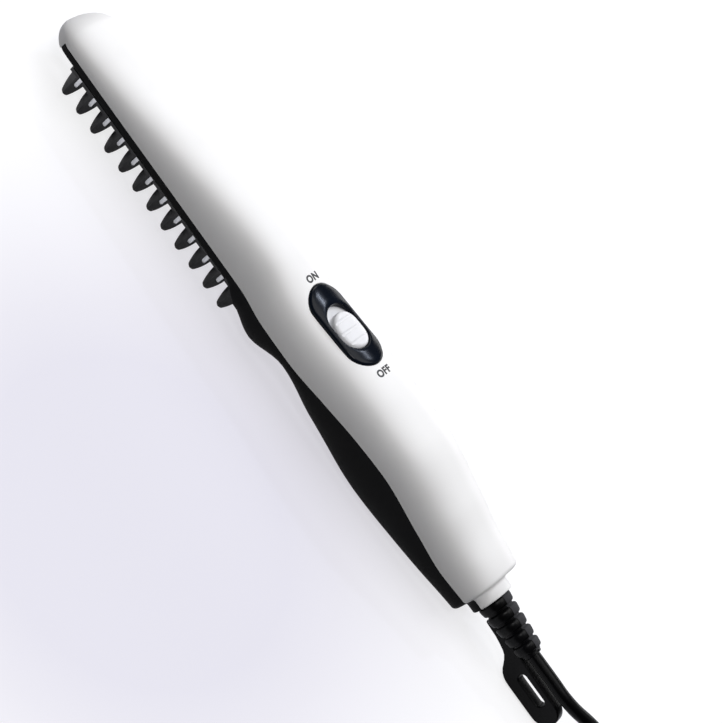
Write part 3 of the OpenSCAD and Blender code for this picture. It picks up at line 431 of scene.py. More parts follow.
class Bench:
    """Small modelling steps, each with Blender's own operators."""

    @staticmethod
    def pick(*objects: Piece) -> None:
        """Selects only these objects.

        Args:
            *objects: The objects, the first of which becomes active.
        """
        bpy.ops.object.select_all(action="DESELECT")
        for obj in objects:
            obj.select_set(True)
        bpy.context.view_layer.objects.active = objects[0]

    @staticmethod
    def newest(name: str) -> Piece:
        """Names the object that an operator has just added.

        Args:
            name: Its new name.

        Returns:
            The object.
        """
        obj = bpy.context.view_layer.objects.active
        obj.name = obj.data.name = name
        return obj

    @staticmethod
    def ring(name: str, points: Sequence[Vector]) -> Piece:
        """Adds a circle primitive with a vertex for each point, and lays it through them.

        Args:
            name: Name of the piece.
            points: The points, in order.

        Returns:
            The ring, of edges alone.
        """
        bpy.ops.object.select_all(action="DESELECT")
        bpy.ops.mesh.primitive_circle_add(vertices=len(points), radius=0.01)
        obj = Bench.newest(name)
        for vertex, point in zip(obj.data.vertices, points):
            vertex.co = point
        return obj

    @staticmethod
    @contextmanager
    def editing(obj: Piece) -> Iterator[None]:
        """Opens an object in edit mode with all of it selected, and closes it again.

        Args:
            obj: The object.

        Returns:
            A context in which the object is open.
        """
        Bench.pick(obj)
        bpy.ops.object.mode_set(mode="EDIT")
        bpy.ops.mesh.select_mode(type="VERT")
        bpy.ops.mesh.select_all(action="SELECT")
        yield
        bpy.ops.object.mode_set(mode="OBJECT")

    @staticmethod
    def seal(threshold: float) -> None:
        """In edit mode, merges doubles and turns the faces outwards.

        Args:
            threshold: Distance in mm under which vertices merge.
        """
        bpy.ops.mesh.select_all(action="SELECT")
        bpy.ops.mesh.remove_doubles(threshold=threshold * MM)
        bpy.ops.mesh.normals_make_consistent(inside=False)

    @staticmethod
    def open_mesh(obj: Piece) -> bmesh.types.BMesh:
        """Reads the mesh in edit mode, its vertices ready to be taken by number.

        Args:
            obj: The object in edit mode.

        Returns:
            Its edit mesh.
        """
        mesh = bmesh.from_edit_mesh(obj.data)
        mesh.verts.ensure_lookup_table()
        return mesh

    @staticmethod
    def extrude_rings(
        name: str, rings: Sequence[Sequence[Vector]], caps: tuple[bool, bool] = (True, True)
    ) -> Piece:
        """Models a body by extruding one ring through the places of the next ones.

        Args:
            name: Name of the piece.
            rings: Matching closed rings of points.
            caps: Whether the first and the last ring are filled.

        Returns:
            The closed body.
        """
        obj = Bench.ring(name, rings[0])
        count = len(rings[0])
        with Bench.editing(obj):
            if caps[0]:
                bpy.ops.mesh.edge_face_add()
                bpy.ops.mesh.select_all(action="SELECT")
                bpy.ops.mesh.duplicate()
                bpy.ops.mesh.delete(type="ONLY_FACE")
                mesh = Bench.open_mesh(obj)
                for vertex in mesh.verts:
                    vertex.select = vertex.index >= count
                mesh.select_flush(True)
                bmesh.update_edit_mesh(obj.data)
            mesh = Bench.open_mesh(obj)
            current = list(range(len(mesh.verts) - count, len(mesh.verts)))
            for ring in rings[1:]:
                bpy.ops.mesh.extrude_edges_move()
                mesh = Bench.open_mesh(obj)
                old = set(current)
                ends = [
                    [edge.other_vert(mesh.verts[k]) for edge in mesh.verts[k].link_edges]
                    for k in current
                ]
                current = [
                    next(v.index for v in near if v.select and v.index not in old)
                    for near in ends
                ]
                for index, point in zip(current, ring):
                    mesh.verts[index].co = point
                bmesh.update_edit_mesh(obj.data)
            if caps[1]:
                bpy.ops.mesh.edge_face_add()
            Bench.seal(0.001)
        return obj

    @staticmethod
    def sheet(name: str, columns: int, rows: int, place: Place) -> Piece:
        """Adds a grid primitive and lays each of its vertices in place.

        Args:
            name: Name of the piece.
            columns: Faces along the sheet.
            rows: Faces across it.
            place: Gives the point for a vertex's column and row.

        Returns:
            The sheet.
        """
        bpy.ops.object.select_all(action="DESELECT")
        bpy.ops.mesh.primitive_grid_add(x_subdivisions=columns, y_subdivisions=rows, size=2.0)
        obj = Bench.newest(name)
        if len(obj.data.vertices) != (columns + 1) * (rows + 1):
            raise ValueError(f"{name}: the grid has {len(obj.data.vertices)} vertices")
        for vertex in obj.data.vertices:
            column = round((vertex.co.x + 1) / 2 * columns)
            row = round((vertex.co.y + 1) / 2 * rows)
            vertex.co = place(column, row)
        return obj

    @staticmethod
    def modify(obj: Piece, kind: str, **settings: object) -> None:
        """Adds a modifier with its settings and applies it.

        Args:
            obj: The object.
            kind: Blender's type of modifier.
            **settings: Attributes of the modifier.
        """
        Bench.pick(obj)
        modifier = obj.modifiers.new(kind.lower(), kind)
        for key, value in settings.items():
            setattr(modifier, key, value)
        bpy.ops.object.modifier_apply(modifier=modifier.name)

    @staticmethod
    def shape(obj: Piece, tool: Piece, how: Shaping) -> None:
        """Shapes a body with a tool body, and throws the tool away.

        Args:
            obj: The body.
            tool: The tool body.
            how: What the tool does to the body.
        """
        Bench.modify(obj, "BOOLEAN", object=tool, operation=how.value, solver="EXACT")
        mesh = tool.data
        bpy.data.objects.remove(tool)
        bpy.data.meshes.remove(mesh)

    @staticmethod
    def cut(obj: Piece, tool: Piece) -> None:
        """Cuts a tool body out of a body."""
        Bench.shape(obj, tool, Shaping.CUT)

    @staticmethod
    def merge(obj: Piece, tool: Piece) -> None:
        """Merges a tool body into a body."""
        Bench.shape(obj, tool, Shaping.MERGE)

    @staticmethod
    def soften(obj: Piece, radius: float, segments: int = 2, angle: float = 35.0) -> None:
        """Rounds the edges sharper than an angle in degrees, by a radius in mm."""
        limit = {"limit_method": "ANGLE", "angle_limit": math.radians(angle), "use_clamp_overlap": True}
        Bench.modify(obj, "BEVEL", width=radius * MM, segments=segments, **limit)

    @staticmethod
    def block(name: str, low: Vector, high: Vector) -> Piece:
        """Adds a cube primitive that fills the box between two corners.

        Args:
            name: Name of the piece.
            low: The lowest corner.
            high: The highest corner.

        Returns:
            The block.
        """
        bpy.ops.object.select_all(action="DESELECT")
        bpy.ops.mesh.primitive_cube_add(size=1.0, location=(low + high) / 2)
        obj = Bench.newest(name)
        obj.scale = high - low
        Bench.settle(obj)
        return obj

    @staticmethod
    def rod(name: str, start: Vector, end: Vector, radius: float, sides: int = 64) -> Piece:
        """Adds a cylinder primitive between two points.

        Args:
            name: Name of the piece.
            start: Middle of one end.
            end: Middle of the other.
            radius: Radius in mm.
            sides: Number of its sides.

        Returns:
            The rod.
        """
        bpy.ops.object.select_all(action="DESELECT")
        bpy.ops.mesh.primitive_cylinder_add(
            vertices=sides, radius=radius * MM, depth=(end - start).length, location=(start + end) / 2
        )
        obj = Bench.newest(name)
        obj.rotation_mode = "QUATERNION"
        obj.rotation_quaternion = (end - start).to_track_quat("Z", "Y")
        Bench.settle(obj)
        return obj

    @staticmethod
    def settle(obj: Piece) -> None:
        """Moves an object's place, turn and scale into its mesh."""
        Bench.pick(obj)
        bpy.ops.object.transform_apply(location=True, rotation=True, scale=True)

    @staticmethod
    def move(obj: Piece, matrix: Matrix) -> None:
        """Moves the vertices by a matrix."""
        obj.data.transform(matrix)
        obj.data.update()

    @staticmethod
    def join(name: str, objects: Sequence[Piece]) -> Piece:
        """Joins objects into the first one.

        Args:
            name: Name of the joined object.
            objects: The objects.

        Returns:
            The joined object.
        """
        Bench.pick(*objects)
        bpy.ops.object.join()
        return Bench.newest(name)

    @staticmethod
    def smooth(obj: Piece, angle: float = 32.0) -> None:
        """Shades smooth across edges flatter than an angle in degrees."""
        Bench.pick(obj)
        bpy.ops.object.shade_smooth_by_angle(angle=math.radians(angle))

    @staticmethod
    def copy(obj: Piece, name: str) -> Piece:
        """Copies an object with its own mesh.

        Args:
            obj: The object.
            name: The copy's name.

        Returns:
            The copy.
        """
        twin = obj.copy()
        twin.data = obj.data.copy()
        twin.name = twin.data.name = name
        bpy.context.scene.collection.objects.link(twin)
        return twin

    @staticmethod
    def turn_outwards(obj: Piece) -> None:
        """Recalculates the normals outwards."""
        with Bench.editing(obj):
            bpy.ops.mesh.normals_make_consistent(inside=False)


def stadium(length: float, width: float, count: int = 96, centre: float = 0.0) -> list[Point]:
    """Draws a slot outline.

    Args:
        length: Length along x, in mm.
        width: Width along y.
        count: Number of points.
        centre: The middle's x.

    Returns:
        The points as (x, y), anticlockwise.
    """
    half = (length - width) / 2
    points = []
    for k in range(count):
        angle = 2 * math.pi * k / count
        side = 1.0 if math.cos(angle) > -1e-9 else -1.0
        points.append((centre + side * half + width / 2 * math.cos(angle), width / 2 * math.sin(angle)))
    return points


def rounded_box(low: Point, high: Point, corner: float) -> list[Point]:
    """Draws a rectangle with rounded corners.

    Args:
        low: Lowest corner, in mm.
        high: Highest corner.
        corner: The corners' radius.

    Returns:
        The points, anticlockwise.
    """
    (x0, y0), (x1, y1) = (low[0] + corner, low[1] + corner), (high[0] - corner, high[1] - corner)
    quarters = ((x1, y1, 0), (x0, y1, 90), (x0, y0, 180), (x1, y0, 270))
    return [point for x, y, turn in quarters for point in arc(x, y, corner, range(turn, turn + 91, 15))]


def finish_piece(
    piece: Piece,
    finishes: Sequence[Finish],
    body: Body,
    slot: Slot,
    replaced: Sequence[str] = (),
    angle: float | None = 32.0,
) -> Piece:
    """Dresses and shades a piece, lets it ride on its body and reports it.

    Args:
        piece: The finished object.
        finishes: Its finishes, or none where it has them already.
        body: The body that it moves with.
        slot: The record's material slot; not used.
        replaced: CAD nodes that it stands for.
        angle: Smoothing angle in degrees, or None for a piece that needs none.

    Returns:
        The piece.
    """
    if finishes:
        dress(piece, *finishes)
    if angle is not None:
        Bench.smooth(piece, angle)
    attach(piece, body.value)
    if replaced:
        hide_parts(*replaced)
    count = len(piece.data.polygons) if piece.type == "MESH" else 0
    nodes = replaced or "nothing"
    LOG.info("%s: %d faces, rides on %s, stands for %s", piece.name, count, body.value, nodes)
    return piece


# ---------------------------------------------------------------- the wand's form


@dataclass(frozen=True)
class SmoothLine:
    """A size that changes smoothly along the wand, through given knots, with no overshoot."""

    knots: tuple[Point, ...]

    def _rise(self, i: int) -> float:
        """Returns the slope between two knots."""
        (x0, y0), (x1, y1) = self.knots[i], self.knots[i + 1]
        return (y1 - y0) / (x1 - x0)

    def _tilt(self, i: int) -> float:
        """Works out the slope at a knot.

        Args:
            i: The knot's number.

        Returns:
            The slope, 0 at a peak or dip.
        """
        if i == 0:
            return self._rise(0)
        if i == len(self.knots) - 1:
            return self._rise(i - 1)
        before, after = self._rise(i - 1), self._rise(i)
        return 0.0 if before * after <= 0 else 2 * before * after / (before + after)

    def __call__(self, x: float) -> float:
        """Works out the size at a distance from the nose.

        Args:
            x: The distance, in mm.

        Returns:
            The size, in mm.
        """
        x = min(max(x, self.knots[0][0]), self.knots[-1][0])
        i = 0
        while i < len(self.knots) - 2 and x > self.knots[i + 1][0]:
            i += 1
        h = self.knots[i + 1][0] - self.knots[i][0]
        t = (x - self.knots[i][0]) / h
        s = 1 - t
        ends = self.knots[i][1] * (1 + 2 * t) * s * s + self.knots[i + 1][1] * (1 + 2 * s) * t * t
        return ends + h * (self._tilt(i) * t * s * s - self._tilt(i + 1) * s * t * t)


@dataclass(frozen=True)
class WandForm:
    """Stations along the wand, heights over the surface, and the housing's smooth lines, in mm."""

    comb_x: float = 17.65
    tooth_pitch: float = 7.9
    tooth_count: int = 12
    tooth_len: float = 11.1
    tooth_w: float = 6.1
    guard_x0: float = 14.0
    guard_x1: float = 108.4
    guard_z: float = 11.1
    guard_half_w: float = 9.6
    nose_len: float = 10.0
    chin_x: float = 7.2
    rim_depth: float = 3.2
    tail_x: float = 231.4
    collar_x: float = 236.2
    exit_x: float = 257.9
    switch_x: float = 134.8
    seam_h: float = 18.0
    split_h: float = 16.2
    axis_h: float = 15.6
    wall: float = 1.8
    seam_gap: float = 0.2
    tail_round: float = 1.4
    crown_bulge: float = 2.7
    width: SmoothLine = SmoothLine(
        (
            (0, 10.7), (10, 11.5), (104.8, 12.2), (119.1, 14.075),
            (151.5, 14.7), (181, 14.7), (203, 14.0), (231.4, 12.3),
        )
    )
    crown: SmoothLine = SmoothLine(
        (
            (0, 6.8), (10, 7.0), (58.9, 12.3), (104.8, 17.5), (123.1, 16.7),
            (141.5, 16.9), (181, 14.9), (204, 14.5), (220.4, 13.7), (231.4, 11.7),
        )
    )
    lift: SmoothLine = SmoothLine(
        (
            (0, 0), (119.1, -0.2), (133.5, 0), (151.5, 2.303), (168, 4.263),
            (181, 4.9), (204, 0.98), (220.4, -1.8), (231.4, -1.8),
        )
    )
    keel: SmoothLine = SmoothLine(
        (
            (0, 3.2), (99.8, 3.2), (108.3, 10.08), (119.1, 14.0), (133.5, 7.2), (151.5, 15.114),
            (181, 22.9), (204, 17.0605), (220.4, 11.9), (231.4, 10.8),
        )
    )
    bulge: SmoothLine = SmoothLine(((0, 12), (99.8, 12), (110.8, 3.2), (133.5, 2.8), (231.4, 2.8)))

    def tooth_xs(self) -> list[float]:
        """Returns the teeth's places, from the nose."""
        return [self.comb_x + k * self.tooth_pitch for k in range(self.tooth_count)]

    def dome(self, x: float) -> float:
        """Returns the nose's share of the full section, from 0 at the tip to 1."""
        return 1.0 if x >= self.nose_len else math.sqrt(max(0.0, 1 - (1 - x / self.nose_len) ** 2))

    def end_round(self, x: float) -> float:
        """Works out how far the skin draws in at the rounded tail end.

        Args:
            x: Distance from the nose.

        Returns:
            The inset, 0 before the tail end.
        """
        r = self.tail_round
        reach = x - self.tail_x + r
        return 0.0 if reach <= 0 else r - math.sqrt(max(0.0, r * r - reach * reach))

    def half_w(self, x: float) -> float:
        """Returns half the housing's width."""
        return self.width(x) * self.dome(x) - self.end_round(x)

    def seam_z(self, x: float) -> float:
        """Returns the height of the seam."""
        return self.seam_h + self.lift(x)

    def chin_z(self) -> float:
        """Returns the height of the nose's underside."""
        return self.seam_h - self.rim_depth

    def top_z(self, x: float) -> float:
        """Returns the height of the crown line."""
        full = self.seam_z(x) + self.crown(x) - self.chin_z()
        return self.chin_z() + full * self.dome(x) ** 1.35 - self.end_round(x)

    def keel_z(self, x: float) -> float:
        """Returns the height of the keel line."""
        return self.seam_z(x) - self.keel(x) + self.end_round(x)

    def top_base(self, x: float) -> float:
        """Works out the height from which the upper half arches.

        Args:
            x: Distance from the nose.

        Returns:
            The seam's height, or less at the nose.
        """
        seam = self.seam_z(x) + self.seam_gap / 2
        share = min(1.0, self.dome(x) / self.dome(self.chin_x)) ** 1.35
        return seam if x >= self.chin_x else self.chin_z() + (seam - self.chin_z()) * share

    def top_rim(self, x: float) -> float:
        """Returns the height of the upper half's rim, which drops to the nose's underside."""
        return self.chin_z() if x < self.chin_x else self.top_base(x)

    def low_rim(self, x: float) -> float:
        """Returns the height of the lower half's rim."""
        return self.seam_z(x) - self.seam_gap / 2

    def skin_z(self, x: float, y: float) -> float:
        """Works out the height of the upper skin over a point.

        Args:
            x: Distance from the nose.
            y: Distance from the middle plane.

        Returns:
            The height.
        """
        base, top = self.top_base(x), self.top_z(x)
        n = self.crown_bulge
        return base + (top - base) * max(0.0, 1 - abs(y / self.half_w(x)) ** n) ** (1 / n)

    def on_crown(self, x: float = 0.0) -> Matrix:
        """Works out the switch's own frame, in mm from the nose: tilted with the crown.

        Args:
            x: Shift along the crown, towards the tail.

        Returns:
            The frame.
        """
        rise = self.top_z(self.switch_x + 12) - self.top_z(self.switch_x - 12)
        tilt = math.atan(rise / 24)
        place = Matrix.Translation(Vector((self.switch_x, 0, self.top_z(self.switch_x))))
        return place @ Matrix.Rotation(-tilt, 4, "Y") @ Matrix.Translation(Vector((x, 0, 0)))


FORM = WandForm()


def power(value: float, exponent: float) -> float:
    """Returns a power that keeps its base's sign."""
    return math.copysign(abs(value) ** exponent, value) if abs(value) > 1e-12 else 0.0


@dataclass(frozen=True)
class Skin:
    """One skin of a housing half: arches of superellipse form at stations along the wand."""

    xs: tuple[float, ...]
    half_w: Callable[[float], float]
    base: Callable[[float], float]
    peak: Callable[[float], float]
    bulge: Callable[[float], float]
    rim: Callable[[float], float] | None = None
    steps: int = 56

    def place(self, column: int, row: int) -> Vector:
        """Works out the skin's point at a station and a step of its arch, which may end in a rim.

        Args:
            column: The station's number.
            row: The step, from one rim to the other.

        Returns:
            The model's point.
        """
        x = self.xs[column]
        angle = math.pi * row / self.steps
        n = 2 / self.bulge(x)
        y = -self.half_w(x) * power(math.cos(angle), n)
        z = self.base(x) + (self.peak(x) - self.base(x)) * power(math.sin(angle), n)
        if self.rim and row in (0, self.steps):
            z = self.rim(x)
        return at(x, y, z)


@dataclass
class Housing:
    """The white upper half and the black lower half, each a walled shell with half a collar."""

    collar_r: float = 7.7
    bore_r: float = 5.05
    collar_fillet: float = 1.6
    bezel_len: float = 32.4
    bezel_w: float = 15.4
    hole_len: float = 27.0
    hole_w: float = 15.2
    hole_x: float = 0.9
    recess_r: float = 3.1
    post_r: float = 4.3
    pocket_fit: float = 0.3
    pocket_floor: float = -1.2
    opening_fit: float = 0.15
    screw_seat: float = 5.4
    station_step: float = 2.4
    screw_xs: tuple[float, float, float] = (112.1, 175.0, 205.4)

    def stations(self, start: float, fine: Sequence[float]) -> list[float]:
        """Lists the stations of a skin: the fine ones first, then even ones.

        Args:
            start: The first station.
            fine: The fine ones after it.

        Returns:
            The stations, to the tail.
        """
        xs = [start, *fine]
        body_end = FORM.tail_x - FORM.tail_round
        count = round((body_end - xs[-1]) / self.station_step)
        xs += [xs[-1] + (body_end - xs[-1]) * k / count for k in range(1, count + 1)]
        return xs + [x for _, x in arc(0, body_end, FORM.tail_round, (18, 36, 54, 72, 90))]

    def shell(self, name: str, outer: Skin, inner: Skin) -> Piece:
        """Builds a closed shell from its outer skin and its lining.

        Args:
            name: Name of the piece.
            outer: The outer skin.
            inner: The lining, with as many stations and steps.

        Returns:
            The shell, with its rims and end walls.
        """
        columns, rows = len(outer.xs) - 1, outer.steps
        skin = Bench.sheet(name, columns, rows, outer.place)
        lining = Bench.sheet("lining", columns, rows, inner.place)
        shell = Bench.join(name, [skin, lining])
        mesh = bmesh.new()
        mesh.from_mesh(shell.data)
        mesh.verts.ensure_lookup_table()
        side = (columns + 1) * (rows + 1)

        def corner(layer: int, column: int, row: int) -> bmesh.types.BMVert:
            """Returns a vertex of the skin (layer 0) or the lining (layer 1)."""
            return mesh.verts[layer * side + row * (columns + 1) + column]

        for row in (0, rows):
            for column in range(columns):
                following = column + 1
                mesh.faces.new([corner(0, column, row), corner(0, following, row),
                                corner(1, following, row), corner(1, column, row)])
        for column in (0, columns):
            for layer in (0, 1):
                mesh.faces.new([corner(layer, column, row) for row in range(rows + 1)])
            mesh.faces.new([corner(0, column, 0), corner(1, column, 0),
                            corner(1, column, rows), corner(0, column, rows)])
        bmesh.ops.recalc_face_normals(mesh, faces=mesh.faces)
        mesh.to_mesh(shell.data)
        mesh.free()
        return shell

    def within(self, xs: Sequence[float], first: float) -> tuple[float, ...]:
        """Lists the lining's stations, which stop short of the front and the end wall.

        Args:
            xs: The outer skin's stations.
            first: Where the lining starts.

        Returns:
            As many stations.
        """
        last = len(xs) - 1
        placed = []
        for k, x in enumerate(xs):
            if x < first:
                placed.append(first + 0.02 * k)
            elif x > FORM.tail_x - FORM.wall - 0.5:
                placed.append(FORM.tail_x - FORM.wall - 0.02 * (last - k))
            else:
                placed.append(x)
        return tuple(placed)

    def half_collar(self, upper: bool) -> Piece:
        """Turns the collar's profile round the cord's axis and keeps one half.

        Args:
            upper: Whether the upper half stays.

        Returns:
            The half collar.
        """
        root, edge, tip, r = FORM.tail_x - 0.9, 0.5, 0.35, self.collar_fillet
        profile = [(root, self.bore_r), (FORM.collar_x - tip, self.bore_r)]
        profile.append((FORM.collar_x, self.bore_r + tip))
        profile += arc(FORM.collar_x - edge, self.collar_r - edge, edge, (0, 30, 60, 90))
        profile += arc(FORM.tail_x + r, self.collar_r + r, r, range(270, 179, -15))
        collar = turned("collar", [*profile, (root, self.collar_r + r)], 72)
        split = FORM.split_h + (FORM.seam_gap / 2 if upper else -FORM.seam_gap / 2)
        low, high = (split, split + 40) if upper else (split - 40, split)
        keep = Bench.block("keep", at(FORM.tail_x - 10, -20, low), at(FORM.tail_x + 20, 20, high))
        Bench.shape(collar, keep, Shaping.CROSS)
        return collar

    def switch_pocket(self, length: float, width: float, low: float, x: float = 0.0) -> Piece:
        """Builds a slot-shaped cutter on the crown.

        Args:
            length: Length along the wand.
            width: Width across it.
            low: Height of its floor, from the crown's top.
            x: Shift along the crown.

        Returns:
            The cutter, which reaches well over the crown.
        """
        matrix = FORM.on_crown(x)
        outline = stadium(length, width)
        rings = [[at(*(matrix @ Vector((px, py, z)))) for px, py in outline] for z in (low, 6.0)]
        return Bench.extrude_rings("pocket", rings)

    def upper_half(self) -> Piece:
        """Builds the white upper half, with its switch pocket.

        Returns:
            The upper half.
        """
        nose = [FORM.nose_len * (1 - math.cos(math.radians(a))) for a in range(6, 90, 6)]
        nose = [x for x in nose if x < FORM.chin_x - 0.2] + [FORM.chin_x - 0.1, FORM.chin_x + 0.02]
        nose += [8.0, 8.8, 9.5, FORM.nose_len]
        xs = self.stations(0.004, nose)
        within = self.within(xs, FORM.chin_x - 0.4)
        rim_of = dict(zip(within, (FORM.top_rim(x) for x in xs)))
        outer = Skin(
            tuple(xs),
            FORM.half_w,
            FORM.top_base,
            FORM.top_z,
            lambda x: FORM.crown_bulge,
            FORM.top_rim,
        )
        inner = Skin(
            within,
            lambda x: FORM.half_w(x) - FORM.wall,
            lambda x: rim_of[x],
            lambda x: FORM.top_z(x) - FORM.wall,
            lambda x: FORM.crown_bulge,
        )
        shell = self.shell("upper_housing", outer, inner)
        Bench.merge(shell, self.half_collar(True))
        length, width = self.bezel_len + self.pocket_fit, self.bezel_w + self.pocket_fit
        Bench.cut(shell, self.switch_pocket(length, width, self.pocket_floor))
        Bench.cut(shell, self.switch_pocket(self.hole_len, self.hole_w, -8.0, self.hole_x))
        return finish_piece(shell, [WHITE_ABS], Body.HOUSING, Slot.SHELL, ["top_shell"], 28)

    def lower_half(self) -> Piece:
        """Builds the black lower half, with the comb's opening and three screw recesses.

        Returns:
            The lower half.
        """
        start = FORM.chin_x + 0.1
        xs = self.stations(start, [start + 0.3, start + 0.7, start + 1.3])
        within = self.within(xs, start + FORM.wall)
        rim_of = dict(zip(within, (FORM.low_rim(x) for x in xs)))
        bulge_of = dict(zip(within, (FORM.bulge(x) for x in xs)))
        outer = Skin(tuple(xs), FORM.half_w, FORM.low_rim, FORM.keel_z, FORM.bulge)
        inner = Skin(
            within,
            lambda x: FORM.half_w(x) - FORM.wall,
            lambda x: rim_of[x],
            lambda x: FORM.keel_z(x) + FORM.wall,
            lambda x: bulge_of[x],
        )
        shell = self.shell("lower_housing", outer, inner)
        Bench.merge(shell, self.half_collar(False))
        for x in self.screw_xs:
            top = FORM.seam_z(x) - (0.9 if x == self.screw_xs[0] else -0.3)
            foot = at(x, 0, FORM.keel_z(x) + FORM.wall / 2)
            Bench.merge(shell, Bench.rod("post", foot, at(x, 0, top), self.post_r))
        fit = self.opening_fit
        low = at(FORM.guard_x0 - fit, -FORM.guard_half_w - fit, -5)
        high = at(FORM.guard_x1 + fit, FORM.guard_half_w + fit, FORM.seam_h + 9)
        Bench.cut(shell, Bench.block("opening", low, high))
        for x in self.screw_xs:
            seat = at(x, 0, FORM.seam_z(x) - self.screw_seat)
            Bench.cut(shell, Bench.rod("recess", at(x, 0, FORM.keel_z(x) - 5), seat, self.recess_r))
        return finish_piece(shell, [BLACK_ABS], Body.HOUSING, Slot.LOWER, ["bottom_shell"], 28)


def turned(name: str, profile: Sequence[Point], steps: int) -> Piece:
    """Turns a closed profile round the cord's axis with the spin operator.

    Args:
        name: Name of the piece.
        profile: Points (x, radius) in mm, a closed loop.
        steps: Steps of the full turn.

    Returns:
        The turned body.
    """
    obj = Bench.ring(name, [at(x, 0, FORM.axis_h + r) for x, r in profile])
    with Bench.editing(obj):
        bpy.ops.mesh.spin(steps=steps, angle=2 * math.pi, center=at(0, 0, FORM.axis_h), axis=(1, 0, 0))
        Bench.seal(0.002)
    return obj


@dataclass
class CombGuard:
    """The black guard: two rails with twelve pointed teeth each, notched for the heater's fins."""

    rail_w: float = 4.0
    rail_t: float = 2.5
    side_wall: float = 1.2
    guard_drop: float = 6.9
    fin_shift: float = 1.55
    fin_t: float = 1.4
    fin_drop: float = 3.6
    fin_corner: float = 1.2
    fit: float = 0.12
    tip_r: float = 1.5
    window_margin: float = 2.4
    pad_margin: float = 2.1
    plate_t: float = 1.5
    plate_seat: float = 0.05
    ledge_t: float = 0.42
    ledge_fit: float = 0.12
    ledge_from: float = 0.9
    ledge_to: float = 9.0
    levels: tuple[float, ...] = (
        -1.0, 0.0, 1.6, 3.2, 4.8, 6.3, 7.6, 8.6, 9.4, 10.0, 10.45, 10.8, 11.0, 11.08,
    )

    def tooth_half_w(self, depth: float) -> float:
        """Works out half a tooth's width along the wand.

        Args:
            depth: Depth under the rail.

        Returns:
            The half width.
        """
        half, tip_z = FORM.tooth_w / 2, FORM.tooth_len - self.tip_r
        radius = (half**2 + tip_z**2 - self.tip_r**2) / (FORM.tooth_w - 2 * self.tip_r)
        side = math.sqrt(radius**2 - depth**2) - (radius - half)
        if depth <= tip_z * radius / (radius - self.tip_r):
            return side
        return math.sqrt(max(0.0004, self.tip_r**2 - (depth - tip_z) ** 2))

    def tooth_section(self, depth: float) -> list[Vector]:
        """Draws a tooth's section: flat inside, two faces that meet in an arris outside.

        Args:
            depth: Depth under the rail, less than 0 inside it.

        Returns:
            The section's corners, in mm.
        """
        w = self.tooth_half_w(max(0.0, depth))
        share = max(0.0, depth) / FORM.tooth_len
        inner = FORM.guard_half_w - self.rail_w + 1.4 * share + 0.7 * share**6
        outer = FORM.guard_half_w - (0.0 if depth < 0 else 0.2 + 0.8 * share + 0.7 * share**6)
        z = FORM.guard_z - depth
        lean, drop = min(0.42 * w, (outer - inner) * 0.5), min(0.85 * w, (outer - inner) * 0.62)
        corners = [
            (-w, inner + 0.15 * w), (-0.7 * w, inner), (0.7 * w, inner), (w, inner + 0.15 * w),
            (w, outer - lean), (0.14 * w, outer), (-0.06 * w, outer + 0.02), (-w, outer - drop),
        ]
        return [Vector((x, y, z)) for x, y in corners]

    def fin_xs(self) -> list[float]:
        """Returns the fins' places, one behind every tooth but the last."""
        return [x + self.fin_shift for x in FORM.tooth_xs()[:-1]]

    def teeth(self) -> Piece:
        """Models one tooth and copies it along both rails.

        Returns:
            All the teeth as one object.
        """
        rings = [[v * MM for v in self.tooth_section(depth)] for depth in self.levels]
        tooth = Bench.extrude_rings("tooth", rings)
        Bench.soften(tooth, 0.12, 2, 20)
        row = []
        for side in (1, -1):
            for x in FORM.tooth_xs():
                twin = Bench.copy(tooth, "tooth_copy")
                mirrored = Matrix.Diagonal((1, side, 1, 1))
                Bench.move(twin, Matrix.Translation(at(x, 0, 0)) @ mirrored)
                if side < 0:
                    Bench.turn_outwards(twin)
                row.append(twin)
        bpy.data.objects.remove(tooth)
        return Bench.join("teeth", row)

    def frame_body(self) -> Piece:
        """Builds the guard's frame: a flat pan with a long window, and a thin ledge round its rim.

        Returns:
            The frame.
        """
        low, high = FORM.guard_z, FORM.guard_z + self.guard_drop - 0.6
        half, t = FORM.guard_half_w, self.side_wall
        pan = Bench.block("pan", at(FORM.guard_x0, -half, low), at(FORM.guard_x1, half, high))
        Bench.soften(pan, 0.3, 3)
        foot = at(FORM.guard_x0 + t, t - half, low + self.rail_t)
        top = at(FORM.guard_x1 - t, half - t, high + 5)
        Bench.cut(pan, Bench.block("hollow", foot, top))
        inner, margin, teeth = half - self.rail_w, self.window_margin, FORM.tooth_xs()
        foot = at(teeth[0] - margin, -inner, low - 3)
        top = at(teeth[-1] + margin, inner, low + 4.5)
        Bench.cut(pan, Bench.block("window", foot, top))
        rim = FORM.chin_z() - 0.03
        x0, x1 = FORM.guard_x0 + self.ledge_from, FORM.guard_x1 - self.ledge_to
        w0, w1 = (FORM.half_w(x) - self.ledge_fit for x in (x0, x1))
        corners = [(x0, -w0), (x1, -w1), (x1, w1), (x0, w0)]
        rings = [[at(x, y, z) for x, y in corners] for z in (rim - self.ledge_t, rim)]
        ledge = Bench.extrude_rings("ledge", rings)
        Bench.soften(ledge, 0.16, 3)
        foot, top = at(x0 + 1.8, 0.4 - half, low), at(x1 + 3, half - 0.4, high)
        Bench.cut(ledge, Bench.block("core", foot, top))
        Bench.merge(pan, ledge)
        return pan

    def fin_profile(self, x: float, low: float, high: float, grow: float = 0.0) -> list[Point]:
        """Returns a fin's outline across the wand, as (x, z): a strip with a round lower edge."""
        r = self.fin_t / 2 + grow
        return [(x - r, high), *arc(x, low + r, r, range(180, 361, 15)), (x + r, high)]

